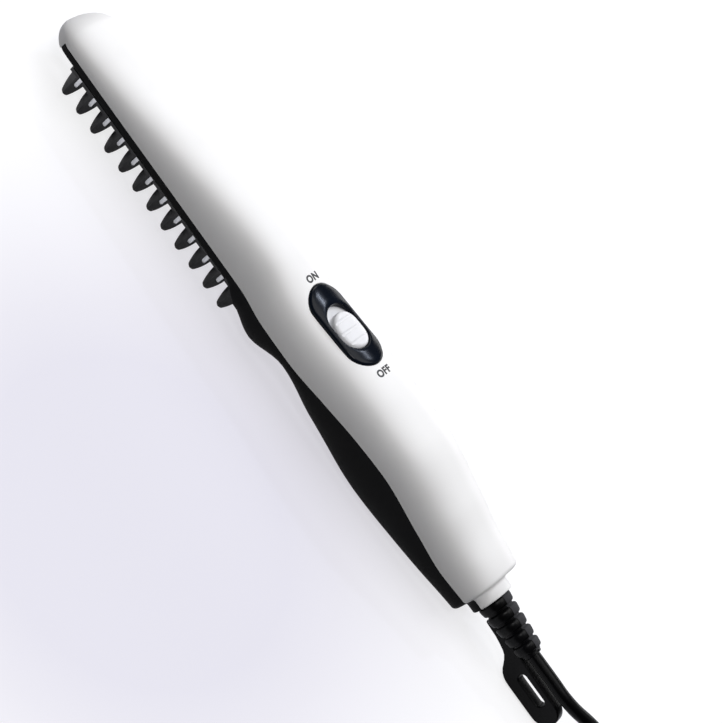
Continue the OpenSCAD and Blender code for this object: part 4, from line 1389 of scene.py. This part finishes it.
    def notches(self) -> Piece:
        """Builds the cutter for the fins' notches.

        Returns:
            The cutter.
        """
        half = FORM.guard_half_w + 1
        low, high = FORM.guard_z - self.fin_drop - self.fit, FORM.guard_z + self.rail_t + 0.9
        cutters = []
        for x in self.fin_xs():
            outline = self.fin_profile(x, low, high, self.fit)
            rings = [[at(px, y, pz) for px, pz in outline] for y in (-half, half)]
            cutters.append(Bench.extrude_rings("notch", rings))
        return Bench.join("notches", cutters)

    def heater(self) -> Piece:
        """Builds the heater plate: the flat plate, its pad in the window and eleven cross fins.

        Returns:
            The heater plate.
        """
        base = FORM.guard_z + self.rail_t + self.plate_seat
        inner = FORM.guard_half_w - self.rail_w - 0.3
        side = FORM.guard_half_w - self.side_wall - 0.4
        x0, x1 = FORM.guard_x0 + self.side_wall + 0.3, FORM.guard_x1 - self.side_wall - 0.3
        plate = Bench.block("heater_plate_fins", at(x0, -side, base), at(x1, side, base + self.plate_t))
        teeth = FORM.tooth_xs()
        low = at(teeth[0] - self.pad_margin, -inner, FORM.guard_z + 0.3)
        high = at(teeth[-1] + self.pad_margin, inner, base + 0.1)
        Bench.merge(plate, Bench.block("pad", low, high))
        Bench.soften(plate, 0.15, 2)
        corner = self.fin_corner
        quarter = arc(0, FORM.guard_half_w - 0.1 - corner, corner, range(0, 91, 18))
        stops = [(y, corner - up) for up, y in quarter]
        stops = [(-y, rise) for y, rise in reversed(stops)] + stops
        fins = []
        for x in self.fin_xs():
            rings = []
            for y, rise in stops:
                foot_z = FORM.guard_z - self.fin_drop + rise
                outline = self.fin_profile(x, foot_z, base + 0.1)
                rings.append([at(px, y, pz) for px, pz in outline])
            fins.append(Bench.extrude_rings("fin", rings))
        Bench.merge(plate, Bench.join("fins", fins))
        return finish_piece(plate, [ALUMINIUM], Body.HOUSING, Slot.HEATER, ["heater_plate"], 35)

    def build(self) -> Piece:
        """Builds the guard as one moulding.

        Returns:
            The guard.
        """
        guard = self.frame_body()
        Bench.merge(guard, self.teeth())
        Bench.cut(guard, self.notches())
        x0, x1, z = FORM.guard_x0, FORM.guard_x1, FORM.seam_h
        tongue = Bench.block("tongue", at(x0 - 3.4, -6, z - 1.35), at(x0 + 0.6, 6, z - 0.55))
        Bench.merge(guard, tongue)
        ear = Bench.block("ear", at(x1 - 1.2, -2.5, z - 0.85), at(x1 + 3.7, 2.5, z + 0.35))
        Bench.merge(guard, ear)
        return finish_piece(guard, [COMB_NYLON], Body.HOUSING, Slot.COMB, ["comb_guard"], 30)


def crown(radius: float, top: float) -> Height:
    """Returns a round crown's height over the switch's base plane, for any y."""
    return lambda y: top - radius + math.sqrt(radius**2 - y * y)


def level(z: float) -> Height:
    """Returns a height that is the same for any y."""
    return lambda y: z


@dataclass
class SlideSwitch:
    """The oval bezel, the grooved slider and the two printed words."""

    bezel_len: float = 32.4
    bezel_w: float = 15.4
    bezel_proud: float = 1.5
    bezel_crown_r: float = 26.0
    window_len: float = 17.4
    window_w: float = 12.0
    window_x: float = 0.9
    pocket_z: float = -1.15
    cap_len: float = 14.0
    cap_w: float = 10.9
    cap_x: float = 2.4
    cap_top: float = 1.9
    cap_crown_r: float = 18.0
    skirt_top: float = -1.65
    groove_pitch: float = 4.1
    groove_r: float = 0.9
    bezel_edge: float = 0.95
    window_edge: float = 0.45
    knob_edge: float = 1.25
    skirt_reach: float = 7.6
    skirt_w: float = 14.3
    skirt_t: float = 0.9
    print_h: float = 2.75
    print_t: float = 0.07
    print_weight: float = 0.043
    print_spacing: float = 1.08
    words: tuple[tuple[str, float, float], ...] = (("ON", 116.0, 0.8), ("OFF", 154.1, -0.35))

    def bezel_top(self, drop: float) -> Height:
        """Returns the bezel's crown, less a drop."""
        return crown(self.bezel_crown_r, self.bezel_proud - drop)

    def outer_line(self, inset: float) -> list[Point]:
        """Returns the bezel's outer outline, drawn in."""
        return stadium(self.bezel_len - 2 * inset, self.bezel_w - 2 * inset)

    def window_line(self, grow: float) -> list[Point]:
        """Returns the outline of the bezel's window, grown."""
        return stadium(self.window_len + 2 * grow, self.window_w + 2 * grow, centre=self.window_x)

    def cap_line(self, inset: float) -> list[Point]:
        """Returns the slider cap's outline, drawn in."""
        return stadium(self.cap_len - 2 * inset, self.cap_w - 2 * inset)

    def between(self, share: float) -> list[Point]:
        """Draws an outline part of the way over the bezel.

        Args:
            share: How far, from 0 at its outer edge to 1 at its window.

        Returns:
            The outline.
        """
        pairs = zip(self.outer_line(self.bezel_edge), self.window_line(self.window_edge))
        rest = 1 - share
        return [(a[0] * rest + b[0] * share, a[1] * rest + b[1] * share) for a, b in pairs]

    def rings(self, matrix: Matrix, steps: Sequence[Step]) -> list[list[Vector]]:
        """Places outlines in the switch's frame.

        Args:
            matrix: The frame.
            steps: Outlines, each with a height for every y.

        Returns:
            The model's points, ring by ring.
        """
        return [
            [at(*(matrix @ Vector((x, y, height(y))))) for x, y in outline]
            for outline, height in steps
        ]

    def bezel(self) -> Piece:
        """Builds the crowned oval ring: up its side, over both edges and down into the window.

        Returns:
            The bezel.
        """
        foot, r = level(self.pocket_z), self.window_edge
        steps = [(self.outer_line(0.0), foot)]
        for out, up in arc(0, 0, self.bezel_edge, range(0, 91, 18)):
            steps.append((self.outer_line(self.bezel_edge - out), self.bezel_top(self.bezel_edge - up)))
        steps += [(self.between(share), self.bezel_top(0.0)) for share in (0.25, 0.5, 0.75)]
        for up, out in arc(0, 0, r, (0, 30, 60, 90)):
            steps.append((self.window_line(r - out), self.bezel_top(r - up)))
        steps += [(self.window_line(0.0), foot), (self.outer_line(0.0), foot)]
        rings = self.rings(FORM.on_crown(), steps)
        piece = Bench.extrude_rings("switch_surround", rings, (False, False))
        return finish_piece(piece, [GLOSS_ABS], Body.HOUSING, Slot.BEZEL, ["switch_bezel"], 40)

    def knob(self) -> Piece:
        """Builds the slider: a wide skirt and a crowned cap with three grooves.

        Returns:
            The slider.
        """
        skirt = stadium(self.cap_len + self.skirt_reach, self.skirt_w)
        steps = [(skirt, level(self.skirt_top - self.skirt_t)), (skirt, level(self.skirt_top))]
        steps.append((stadium(self.cap_len + 0.3, self.cap_w + 0.9), level(self.skirt_top)))
        steps.append((stadium(self.cap_len + 0.1, self.cap_w + 0.7), level(self.skirt_top + 0.3)))
        r = self.knob_edge
        edge = [(r - out, r - up) for out, up in arc(0, 0, r, (0, 20, 40, 60, 80, 90))]
        for inset, drop in edge + [(1.6, 0.0), (2.6, 0.0), (3.6, 0.0), (4.6, 0.0)]:
            steps.append((self.cap_line(inset), crown(self.cap_crown_r, self.cap_top - drop)))
        matrix = FORM.on_crown(self.cap_x)
        piece = Bench.extrude_rings("slider_knob", self.rings(matrix, steps))
        for k in (-1, 0, 1):
            bpy.ops.object.select_all(action="DESELECT")
            bpy.ops.mesh.primitive_torus_add(
                major_segments=192,
                minor_segments=16,
                major_radius=(self.cap_crown_r + 0.66) * MM,
                minor_radius=self.groove_r * MM,
                rotation=(0, math.pi / 2, 0),
            )
            groove = Bench.newest("groove")
            Bench.settle(groove)
            centre = matrix @ Vector((k * self.groove_pitch, 0.45, self.cap_top - self.cap_crown_r))
            Bench.move(groove, Matrix.Translation(at(*centre)) @ matrix.to_3x3().to_4x4())
            Bench.cut(piece, groove)
        return finish_piece(piece, [KNOB_ABS], Body.SLIDER, Slot.KNOB, ["slide_knob"], 30)

    def word(self, text: str, x: float, y: float) -> Piece:
        """Prints a word across the crown, its top towards the nose.

        Args:
            text: ON or OFF.
            x: Distance of its middle from the nose.
            y: Its middle's distance from the wand's middle plane.

        Returns:
            The thin raised print.
        """
        bpy.ops.object.select_all(action="DESELECT")
        bpy.ops.object.text_add(location=(0, 0, 0))
        obj = bpy.context.view_layer.objects.active
        data = obj.data
        data.body, data.size, data.offset = text, 1.0, self.print_weight
        data.space_character, data.resolution_u = self.print_spacing, 6
        Bench.pick(obj)
        bpy.ops.object.convert(target="MESH")
        piece = Bench.newest(f"print_{text.lower()}")
        with Bench.editing(piece):
            bpy.ops.mesh.remove_doubles(threshold=0.0005)
            bpy.ops.mesh.quads_convert_to_tris()
            bpy.ops.mesh.subdivide(number_cuts=2)
        across, upright = ([v.co[axis] for v in piece.data.vertices] for axis in (0, 1))
        scale = self.print_h / (max(upright) - min(upright))
        mid_u, mid_v = (max(across) + min(across)) / 2, (max(upright) + min(upright)) / 2
        for vertex in piece.data.vertices:
            px = x - (vertex.co.y - mid_v) * scale
            py = y + (vertex.co.x - mid_u) * scale
            vertex.co = at(px, py, FORM.skin_z(px, py) + self.print_t / 2)
        Bench.modify(piece, "SOLIDIFY", thickness=self.print_t * MM, offset=-1.0)
        return finish_piece(piece, [INK], Body.HOUSING, Slot.LOWER)

    def build(self) -> None:
        """Builds the bezel, the slider and the words."""
        self.bezel()
        self.knob()
        for text, x, y in self.words:
            self.word(text, x, y)


@dataclass
class CordBoot:
    """The ribbed strain relief with the hang loop moulded on its underside."""

    length: float = 21.7
    start_r: float = 6.1
    end_r: float = 4.5
    ribs: int = 5
    groove: float = 0.7
    turn: float = 6.0
    plate_t: float = 4.0
    plate_drop: float = 3.9
    loop_len: float = 25.2
    loop_h: float = 11.2
    eye_len: float = 12.8
    eye_h: float = 3.6
    eye_rise: float = 1.2
    parting_turn: float = 14.0
    parting_w: float = 0.24
    parting_depth: float = 0.4
    bore_r: float = 2.45
    edge_r: float = 1.2

    def loop_start(self) -> float:
        """Returns where the loop starts, from the nose."""
        return FORM.exit_x - 0.9

    def rib_profile(self) -> list[Point]:
        """Draws the boot's outline, from inside the collar to the cord's end.

        Returns:
            The points as (x, radius).
        """
        pitch = self.length / self.ribs
        points = [(FORM.tail_x - 1.0, 4.9), (FORM.collar_x + 0.05, 4.9)]
        for k in range(self.ribs):
            x = FORM.collar_x + 0.05 + k * pitch
            taper = self.end_r - self.start_r
            first, last = (self.start_r + taper * n / self.ribs for n in (k, k + 0.8))
            wide = pitch - self.groove
            points += [
                (x, first - 0.85), (x + 0.12, first - 0.45), (x + 0.42, first - 0.12),
                (x + 0.9, first + 0.02), (x + wide / 2, (first + last) / 2 + 0.05),
                (x + wide - 0.8, last + 0.02), (x + wide - 0.35, last - 0.14),
                (x + wide - 0.08, last - 0.5), (x + wide, last - 0.95),
                (x + pitch - 0.15, last - 1.05),
            ]
        end = FORM.exit_x
        points += [(end - 0.1, 3.3), (end + 0.7, 3.25), (end + 0.95, 3.0), (end + 1.0, 2.65)]
        return points

    def sleeve(self) -> Piece:
        """Turns the ribbed sleeve, bored for the cord.

        Returns:
            The sleeve.
        """
        outline = self.rib_profile()
        bore = [(outline[-1][0], self.bore_r), (outline[0][0], self.bore_r)]
        return turned("cord_boot", outline + bore, 96)

    def parting_line(self) -> Piece:
        """Builds the thin cutter for the mould's parting line along the top of the ribs.

        Returns:
            The cutter.
        """
        half = self.parting_w / 2
        low = Vector((-0.2, -half, self.start_r - self.parting_depth)) * MM
        tool = Bench.block("parting", low, Vector((self.length + 0.3, half, self.start_r + 2)) * MM)
        slope = math.atan((self.start_r - self.end_r) / self.length)
        turn = Matrix.Rotation(math.radians(self.parting_turn), 4, "X") @ Matrix.Rotation(slope, 4, "Y")
        Bench.move(tool, Matrix.Translation(at(FORM.collar_x, 0, FORM.axis_h)) @ turn)
        return tool

    def plate_outline(self) -> list[Point]:
        """Draws the strap and loop's outline, smoothed.

        Returns:
            The points as (x, depth below the axis).
        """
        x0, top, start, r = FORM.collar_x, self.plate_drop, self.loop_start(), self.loop_h / 2
        upper = [(x0 + 4.74, top - 0.6), (start - 8, top - 0.6), (start + 4, top - 0.25)]
        round_end = arc(start + self.loop_len - r, top + r, r, range(-90, 91, 12))
        low = top + self.loop_h
        lower = [
            (start + 6.6, low), (start + 4.6, low - 0.12), (start + 3.0, low - 0.5),
            (start + 1.5, low - 1.25), (start + 0.1, low - 2.5), (start - 1.0, low - 3.9),
            (start - 2.1, low - 5.2), (start - 3.5, low - 6.4), (start - 5.0, low - 7.05),
            (start - 7.4, low - 7.65), (start - 10.0, low - 8.1), (x0 + 6.0, low - 8.4),
            (x0 + 4.74, low - 8.5),
        ]
        return upper + round_end + lower

    def plate(self) -> Piece:
        """Builds the strap and loop: a plate with an eye, its edges rounded over.

        Returns:
            The plate.
        """
        outline = self.plate_outline()
        half = self.plate_t / 2
        rings = [[at(x, y, FORM.axis_h - depth) for x, depth in outline] for y in (-half, half)]
        plate = Bench.extrude_rings("hang_loop", rings)
        x0 = self.loop_start() + 5.2 + self.eye_len / 2
        z0 = FORM.axis_h - self.plate_drop - self.loop_h / 2 + self.eye_rise
        slot = stadium(self.eye_len, self.eye_h, 48)
        eye = [[at(x0 + x, y, z0 + z) for x, z in slot] for y in (-half - 1, half + 1)]
        Bench.cut(plate, Bench.extrude_rings("eye", eye))
        Bench.soften(plate, self.edge_r, 4, 50)
        pivot = at(0, 0, FORM.axis_h)
        turn = Matrix.Rotation(math.radians(-self.turn), 4, "X")
        Bench.move(plate, Matrix.Translation(pivot) @ turn @ Matrix.Translation(-pivot))
        return plate

    def build(self) -> Piece:
        """Builds the boot as one moulding, its upper far side a coarser eroded skin in a grey of
        painted light.

        Returns:
            The boot.
        """
        boot = self.sleeve()
        Bench.cut(boot, self.parting_line())
        Bench.merge(boot, self.plate())
        dress(boot, BOOT_PVC, BOOT_LIT_SIDE_PVC)
        # The faces above the parting line on the far side take the grey: painted light on the lit side
        lean = math.tan(math.radians(self.parting_turn))
        for face in boot.data.polygons:
            place = face.center / MM
            rise = place.z - FORM.axis_h
            eroded_lit_side = rise > 0.3 and place.y > -lean * rise
            face.material_index = int(eroded_lit_side and place.x + HALF_LENGTH < FORM.exit_x)
        return finish_piece(boot, [], Body.HOUSING, Slot.BOOT, ["strain_relief"], 38)


# ---------------------------------------------------------------- the cord and its plug


def bend(a: Vector, b: Vector, c: Vector, d: Vector, t: float) -> Vector:
    """Returns a point of the smooth curve between b and c."""
    sweep = 2 * b + (c - a) * t + (2 * a - 5 * b + 4 * c - d) * t * t
    return 0.5 * (sweep + (3 * b - a - 3 * c + d) * t**3)


def smooth_route(points: Sequence[Vector], steps: int) -> list[Vector]:
    """Draws a smooth curve through listed points.

    Args:
        points: The points.
        steps: Steps between two of them.

    Returns:
        The curve's points.
    """
    route = []
    last = len(points) - 1
    for i in range(last):
        before = 2 * points[0] - points[1] if i == 0 else points[i - 1]
        after = 2 * points[last] - points[last - 1] if i == last - 1 else points[i + 2]
        route += [bend(before, points[i], points[i + 1], after, k / steps) for k in range(steps)]
    return route + [points[last]]


@dataclass
class MainsCord:
    """The free cord: out of the boot, down to the surface, into a folded hank and the plug."""

    diameter: float = 4.8
    layers: int = 4
    run: float = 110.0
    fold_r: float = 13.5
    waist_draw: float = 10.5
    hank_y: float = -5.0
    plug_h: float = 13.0
    plug_w: float = 22.0
    plug_tail: float = 15.0
    plug_side: float = 17.0
    layer_gap: float = 0.5
    side_gap: float = 1.4
    tie_w: float = 11.0
    tie_t: float = 1.1
    turn_points: int = 48
    exit_points: tuple[Triple, ...] = (
        (0, 0, 0), (6, 0, 0), (12, 0, 0), (18, 0.1, -0.2), (24, 1.5, -0.9), (30, 4.6, -2.4),
        (36, 8.2, -4.9), (42, 11.6, -8.0), (48, 14, -10.8), (53, 14.9, -12.4), (58, 14.9, -13.1),
        (63, 14.9, -13.2), (68, 14.9, -13.2),
    )
    tail_points: tuple[Triple, ...] = (
        (0, 0, 0), (-3, 0, 0), (-9, 2, 0.8), (-13.4, 7, 2.2), (-14.8, 13, 3.4), (-13, 19, 4.6),
        (-8.4, 23, 5.8), (-2, 24.6, 6.9), (5, 23.6, 7.8), (12, 20.8, 8.5), (19, 18.3, 9),
        (26, 17.1, 9.1),
    )

    @property
    def radius(self) -> float:
        """Returns the cord's radius."""
        return self.diameter / 2

    @property
    def hank_x(self) -> float:
        """Returns the start of the hank's runs, from the nose."""
        return FORM.exit_x + 73

    @property
    def hank_top(self) -> float:
        """Returns the height of the hank."""
        return self.diameter + (self.diameter + self.layer_gap) * (self.layers - 1)

    @property
    def plug_axis(self) -> float:
        """Returns the height of the plug's axis, lying on the hank."""
        return self.hank_top + 0.3 + self.plug_h / 2

    @property
    def plug_x(self) -> float:
        """Returns the plug's cord end, from the nose."""
        return self.hank_x + 44

    def hank_point(self, turn: float) -> Vector:
        """Works out a point of the hank.

        Args:
            turn: Number of turns from its start.

        Returns:
            The point, from the hank's middle.
        """
        step = turn % 1 * 4
        side, share = math.floor(step), step % 1
        swing = turn % 2
        radius = self.fold_r + (self.diameter + self.side_gap) * (1 - swing if swing < 1 else swing - 1)
        whole = math.floor(turn)
        layer = 0.0 if whole < 1 else whole - 1 + min(1.0, (turn - whole) * 4)
        sign = 1 if side < 2 else -1
        if side % 2 == 0:
            inset = radius - self.waist_draw * math.sin(math.pi * share) ** 2
            x, y = sign * self.run * (share - 0.5), sign * inset
        else:
            angle = math.radians(90 - 180 * share)
            x = sign * (self.run / 2 + radius * math.cos(angle))
            y = sign * radius * math.sin(angle)
        return Vector((x, y, self.radius + (self.diameter + self.layer_gap) * layer))

    def hank_route(self) -> list[Vector]:
        """Draws the hank's centreline, with a short straight at each end.

        Returns:
            The points, in mm from the nose.
        """
        turns = self.layers - 0.25
        middle = Vector((self.hank_x + self.run / 2, self.hank_y, 0))
        count = round(turns * self.turn_points)
        stops = [turns * k / count for k in range(count)] + [turns - 1e-9]
        points = [self.hank_point(turn) + middle for turn in stops]
        back = Vector((5, 0, 0))
        return [points[0] - back, *points, points[-1] - back]

    def route(self) -> list[Vector]:
        """Draws the whole centreline: out of the boot, round the hank and into the plug.

        Returns:
            The points, in mm from the nose.
        """
        start = Vector((FORM.exit_x, 0, FORM.axis_h))
        out = smooth_route([start + Vector(p) for p in self.exit_points], 4)
        hank = self.hank_route()
        end = hank[-1]
        rise = (self.plug_axis - end.z) / 9.1
        tail = [end + Vector((x, y, z * rise)) for x, y, z in self.tail_points]
        side = end.y + self.plug_side
        tail += [Vector((self.plug_x - gap, side, self.plug_axis)) for gap in (8, 4, 0)]
        return out + hank[1:] + smooth_route(tail[1:], 3)

    def cord(self, with_pieces: Sequence[Piece]) -> Piece:
        """Args:
            with_pieces: The tie, the plug and the plug's pins; not used.

        Returns:
            The cord.
        """
        route = [at(*p) for p in self.route()]
        data = bpy.data.curves.new("mains_cord", "CURVE")
        data.dimensions = "3D"
        data.bevel_depth = self.radius * MM
        data.bevel_resolution = 4
        data.use_fill_caps = True
        spline = data.splines.new("POLY")
        spline.points.add(len(route) - 1)
        for point, place in zip(spline.points, route):
            point.co = (*place, 1.0)
        spline.use_smooth = True
        cord = bpy.data.objects.new("mains_cord", data)
        bpy.context.scene.collection.objects.link(cord)
        dress(cord, JACKET_PVC)
        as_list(with_pieces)
        nodes = ["cord_run", "cord_hank", "cord_tail"]
        return finish_piece(cord, [], Body.HOUSING, Slot.CORD, nodes, None)

    def tie(self) -> Piece:
        """Builds the soft band round the hank's waist.

        Returns:
            The tie.
        """
        step, room = self.diameter + self.side_gap, self.radius + 0.35
        low_y = self.hank_y - (self.fold_r + 0.75 * step - self.waist_draw) - room
        high_y = self.hank_y + self.fold_r + step - self.waist_draw + room
        x0 = self.hank_x + self.run / 2 - self.tie_w / 2
        x1 = x0 + self.tie_w

        def loop(grow: float, corner: float) -> list[Point]:
            """Returns a rounded rectangle round the hank, grown outwards."""
            low_z, high_z = (0.0 if grow else 0.15), self.hank_top + 0.2 + grow
            return rounded_box((low_y - grow, low_z), (high_y + grow, high_z), corner)

        inner, middle, outer = loop(0.0, 1.6), loop(self.tie_t - 0.3, 2.3), loop(self.tie_t, 2.6)
        steps = [(x0 + 0.3, outer), (x0, middle), (x0, inner)]
        steps += [(x1, inner), (x1, middle), (x1 - 0.3, outer)]
        rings = [[at(x, y, max(z, 0.0)) for y, z in points] for x, points in steps]
        piece = Bench.extrude_rings("cord_tie", [*rings, rings[0]], (False, False))
        return finish_piece(piece, [TIE_RUBBER], Body.HOUSING, Slot.TIE, ["hank_tie"], 30)

    def plug(self, y: float) -> Piece:
        """Builds the flat plug body with its ribbed tail.

        Args:
            y: Its axis's distance from the wand's middle plane.

        Returns:
            The plug body.
        """
        r, t, h, w = self.radius, self.plug_tail, self.plug_h, self.plug_w
        sections = [(0, 2 * r + 2, 2 * r + 2, r + 0.98)]
        for k in range(3):
            x, big, small = 2 + 4 * k, 2 * (r + 1.7 + 0.4 * k), 2 * (r + 1.0 + 0.3 * k)
            rib = (
                (-0.2, small), (0, big - 0.6), (0.4, big), (2.0, big), (2.4, big - 0.6), (2.6, small),
            )
            sections += [(x + dx, size, size, size / 2 - 0.01) for dx, size in rib]
        sections += [
            (t - 0.6, 2 * r + 4.2, 2 * r + 4.2, r + 2.0), (t, h - 4.4, w - 7, 3.4),
            (t + 1.2, h - 2.4, w - 4, 3.4), (t + 3, h - 0.8, w - 1.4, 3.2), (t + 4.6, h, w, 3.0),
            (t + 12, h - 1.6, w - 0.6, 3.0), (t + 19, h - 0.6, w, 3.0), (t + 23.5, h, w, 2.6),
            (t + 24.6, h - 0.5, w - 0.5, 2.4), (t + 25, h - 1.4, w - 1.4, 2.0),
        ]
        rings = []
        for x, height, width, corner in sections:
            outline = rounded_box((-width / 2, -height / 2), (width / 2, height / 2), corner)
            rings.append([at(self.plug_x + x, y + py, self.plug_axis + pz) for py, pz in outline])
        piece = Bench.extrude_rings("mains_plug", rings)
        return finish_piece(piece, [PLUG_PVC], Body.HOUSING, Slot.PLUG, ["plug_body"], 34)

    def build(self) -> None:
        """Builds the tie and plug first, then the cord."""
        tie = self.tie()
        plug = self.plug(self.hank_route()[-1].y + self.plug_side)
        self.cord([tie, plug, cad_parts["plug_pins"]])


# ---------------------------------------------------------------- the studio


@dataclass(frozen=True)
class StudioCamera:
    """The photograph's viewpoint: low over the wand, rolled so that it lies across the frame."""

    azimuth: float = -0.407
    elevation: float = 44.527
    roll: float = 54.257
    distance: float = 800.0
    focal_px: float = 2465.954
    target: Triple = (6.213, 0.0, 30.957)

    def build(self) -> Piece:
        """Adds the camera and makes it the scene's own.

        Returns:
            The camera.
        """
        a, e, roll = (math.radians(v) for v in (self.azimuth, self.elevation, self.roll))
        forward = Vector((-math.sin(a) * math.cos(e), math.cos(a) * math.cos(e), -math.sin(e)))
        across = Vector((math.cos(a), math.sin(a), 0))
        above = across.cross(forward)
        right = math.cos(roll) * across + math.sin(roll) * above
        up = math.cos(roll) * above - math.sin(roll) * across
        data = bpy.data.cameras.new("studio_camera")
        data.sensor_fit = "HORIZONTAL"
        data.sensor_width = SENSOR
        data.lens = SENSOR * self.focal_px / PHOTO_WIDTH
        data.clip_start, data.clip_end = 0.01, 10.0
        camera = bpy.data.objects.new("studio_camera", data)
        bpy.context.scene.collection.objects.link(camera)
        place = (Vector(self.target) - forward * self.distance) * MM
        turn = Matrix((right, up, -forward)).transposed().to_4x4()
        camera.matrix_world = Matrix.Translation(place) @ turn
        bpy.context.scene.camera = camera
        return camera


@dataclass(frozen=True)
class Lamp:
    """One soft area light, aimed at the wand."""

    name: str
    place: Triple
    size: Point
    watts: float
    colour: str = "#FFFFFF"
    aim: Triple = (0.0, 0.0, 0.02)

    def build(self) -> None:
        """Adds the light."""
        data = bpy.data.lights.new(self.name, "AREA")
        data.shape = "RECTANGLE"
        data.size, data.size_y = self.size
        data.energy = self.watts
        data.color = srgb(self.colour)[:3]
        lamp = bpy.data.objects.new(self.name, data)
        bpy.context.scene.collection.objects.link(lamp)
        away = (Vector(self.place) - Vector(self.aim)).normalized()
        across = Vector((0.01, 0, 1)).cross(away).normalized()
        turn = Matrix((across, away.cross(across), away)).transposed().to_4x4()
        lamp.matrix_world = Matrix.Translation(self.place) @ turn


@dataclass
class Studio:
    """A pale floor, a dim even world and soft lamps above and behind the wand.

    The floor's soft lavender patch is painted shade: it stands for the photograph's wide fall-off at
    the lower left.
    """

    world_level: float = 0.01
    glow: float = 0.76
    # Painted shade on the floor: the lavender patch's middle, its reach and its tints
    painted_shade_place: Triple = (0.005, -0.088, 0.0)
    painted_shade_span: Point = (0.04, 0.14)
    painted_shade_tints: tuple[tuple[float, str], ...] = (
        (0.15, "#D9D7E2"), (0.35, "#E1DFE7"), (0.65, "#F0EFF3"),
    )
    lamps: tuple[Lamp, ...] = (
        Lamp("overhead_box", (0.0, 0.1, 1.25), (1.0, 0.9), 9.0),
        Lamp("back_box_nose", (-0.75, 0.65, 0.75), (0.6, 0.5), 4.4),
        Lamp("back_box_tail", (0.75, 0.65, 0.75), (0.6, 0.5), 0.7),
        Lamp("low_window", (0.0, 1.2, 0.35), (1.2, 0.3), 5.1),
        Lamp("near_fill", (0.0, -0.6, 1.0), (0.22, 0.2), 3.1),
        Lamp("glint_box", (-0.16, 0.6, 0.9), (0.05, 0.05), 1.25, "#E2ECFF"),
    )

    def world(self) -> None:
        """Lights the scene dimly and evenly, so that black stays black."""
        world = bpy.context.scene.world or bpy.data.worlds.new("studio_world")
        bpy.context.scene.world = world
        world.use_nodes = True
        tree = world.node_tree
        tree.nodes.clear()
        dim = {"Color": srgb("#F4F5FA"), "Strength": self.world_level}
        light = add_node(tree, "ShaderNodeBackground", dim)
        add_node(tree, "ShaderNodeOutputWorld", links={"Surface": light.outputs[0]})

    def floor(self) -> None:
        """Lays the floor, which keeps the wand's shadow but looks near white around it, with a patch of
        painted lavender shade near the wand.
        """
        bpy.ops.object.select_all(action="DESELECT")
        bpy.ops.mesh.primitive_plane_add(size=8.0, location=(0, 0, 0))
        floor = Bench.newest("studio_floor")
        made, tree = new_tree("matte_paper_floor")
        paths = add_node(tree, "ShaderNodeLightPath").outputs
        seen = {0: paths["Is Glossy Ray"], 1: paths["Is Transmission Ray"]}
        mirrored = add_node(tree, "ShaderNodeMath", links=seen, operation="MAXIMUM")
        paper, white, half = (
            add_node(tree, "ShaderNodeBsdfDiffuse", {"Color": srgb(code)})
            for code in ("#828283", "#F4F4F8", "#949499")
        )
        place = {0: add_node(tree, "ShaderNodeTexCoord").outputs["Object"]}
        middle = {1: self.painted_shade_place}
        away = add_node(tree, "ShaderNodeVectorMath", middle, place, operation="DISTANCE")
        limits = dict(zip(("From Min", "From Max"), self.painted_shade_span))
        near = add_node(tree, "ShaderNodeMapRange", limits, {"Value": away.outputs["Value"]})
        # Painted shade: the floor's glow turns lavender near the wand and white further off
        painted_shade = add_node(tree, "ShaderNodeValToRGB", links={"Fac": near.outputs[0]})
        painted_shade.color_ramp.elements[0].color = srgb(self.painted_shade_tints[0][1])
        for stop, tint in self.painted_shade_tints:
            painted_shade.color_ramp.elements.new(stop).color = srgb(tint)
        glow = add_node(tree, "ShaderNodeEmission", {"Strength": self.glow}, {"Color": painted_shade.outputs[0]})
        lit = add_node(tree, "ShaderNodeAddShader", links={0: half.outputs[0], 1: glow.outputs[0]})
        sides = {0: mirrored.outputs[0], 1: paper.outputs[0], 2: white.outputs[0]}
        plain = add_node(tree, "ShaderNodeMixShader", links=sides)
        sides = {0: paths["Is Camera Ray"], 1: plain.outputs[0], 2: lit.outputs[0]}
        mixed = add_node(tree, "ShaderNodeMixShader", links=sides)
        add_node(tree, "ShaderNodeOutputMaterial", links={"Surface": mixed.outputs[0]})
        floor.data.materials.append(made)

    def build(self) -> None:
        """Sets the colour transform and builds the world, the floor and the lamps."""
        bpy.context.scene.view_settings.view_transform = "Standard"
        self.world()
        self.floor()
        for lamp in self.lamps:
            lamp.build()


def main() -> None:
    """Builds the studio's camera and the cord first, then the wand from its nose to its tail."""
    logging.basicConfig(level=logging.INFO, format="%(name)s %(message)s")
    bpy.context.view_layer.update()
    StudioCamera().build()
    MainsCord().build()
    housing = Housing()
    housing.upper_half()
    housing.lower_half()
    comb = CombGuard()
    comb.build()
    comb.heater()
    SlideSwitch().build()
    CordBoot().build()
    for name, finish in NODE_FINISHES.items():
        dress_node(name, finish)
        LOG.info("%s: %s", name, finish.name)
    Studio().build()


if __name__ == "__main__":
    main()
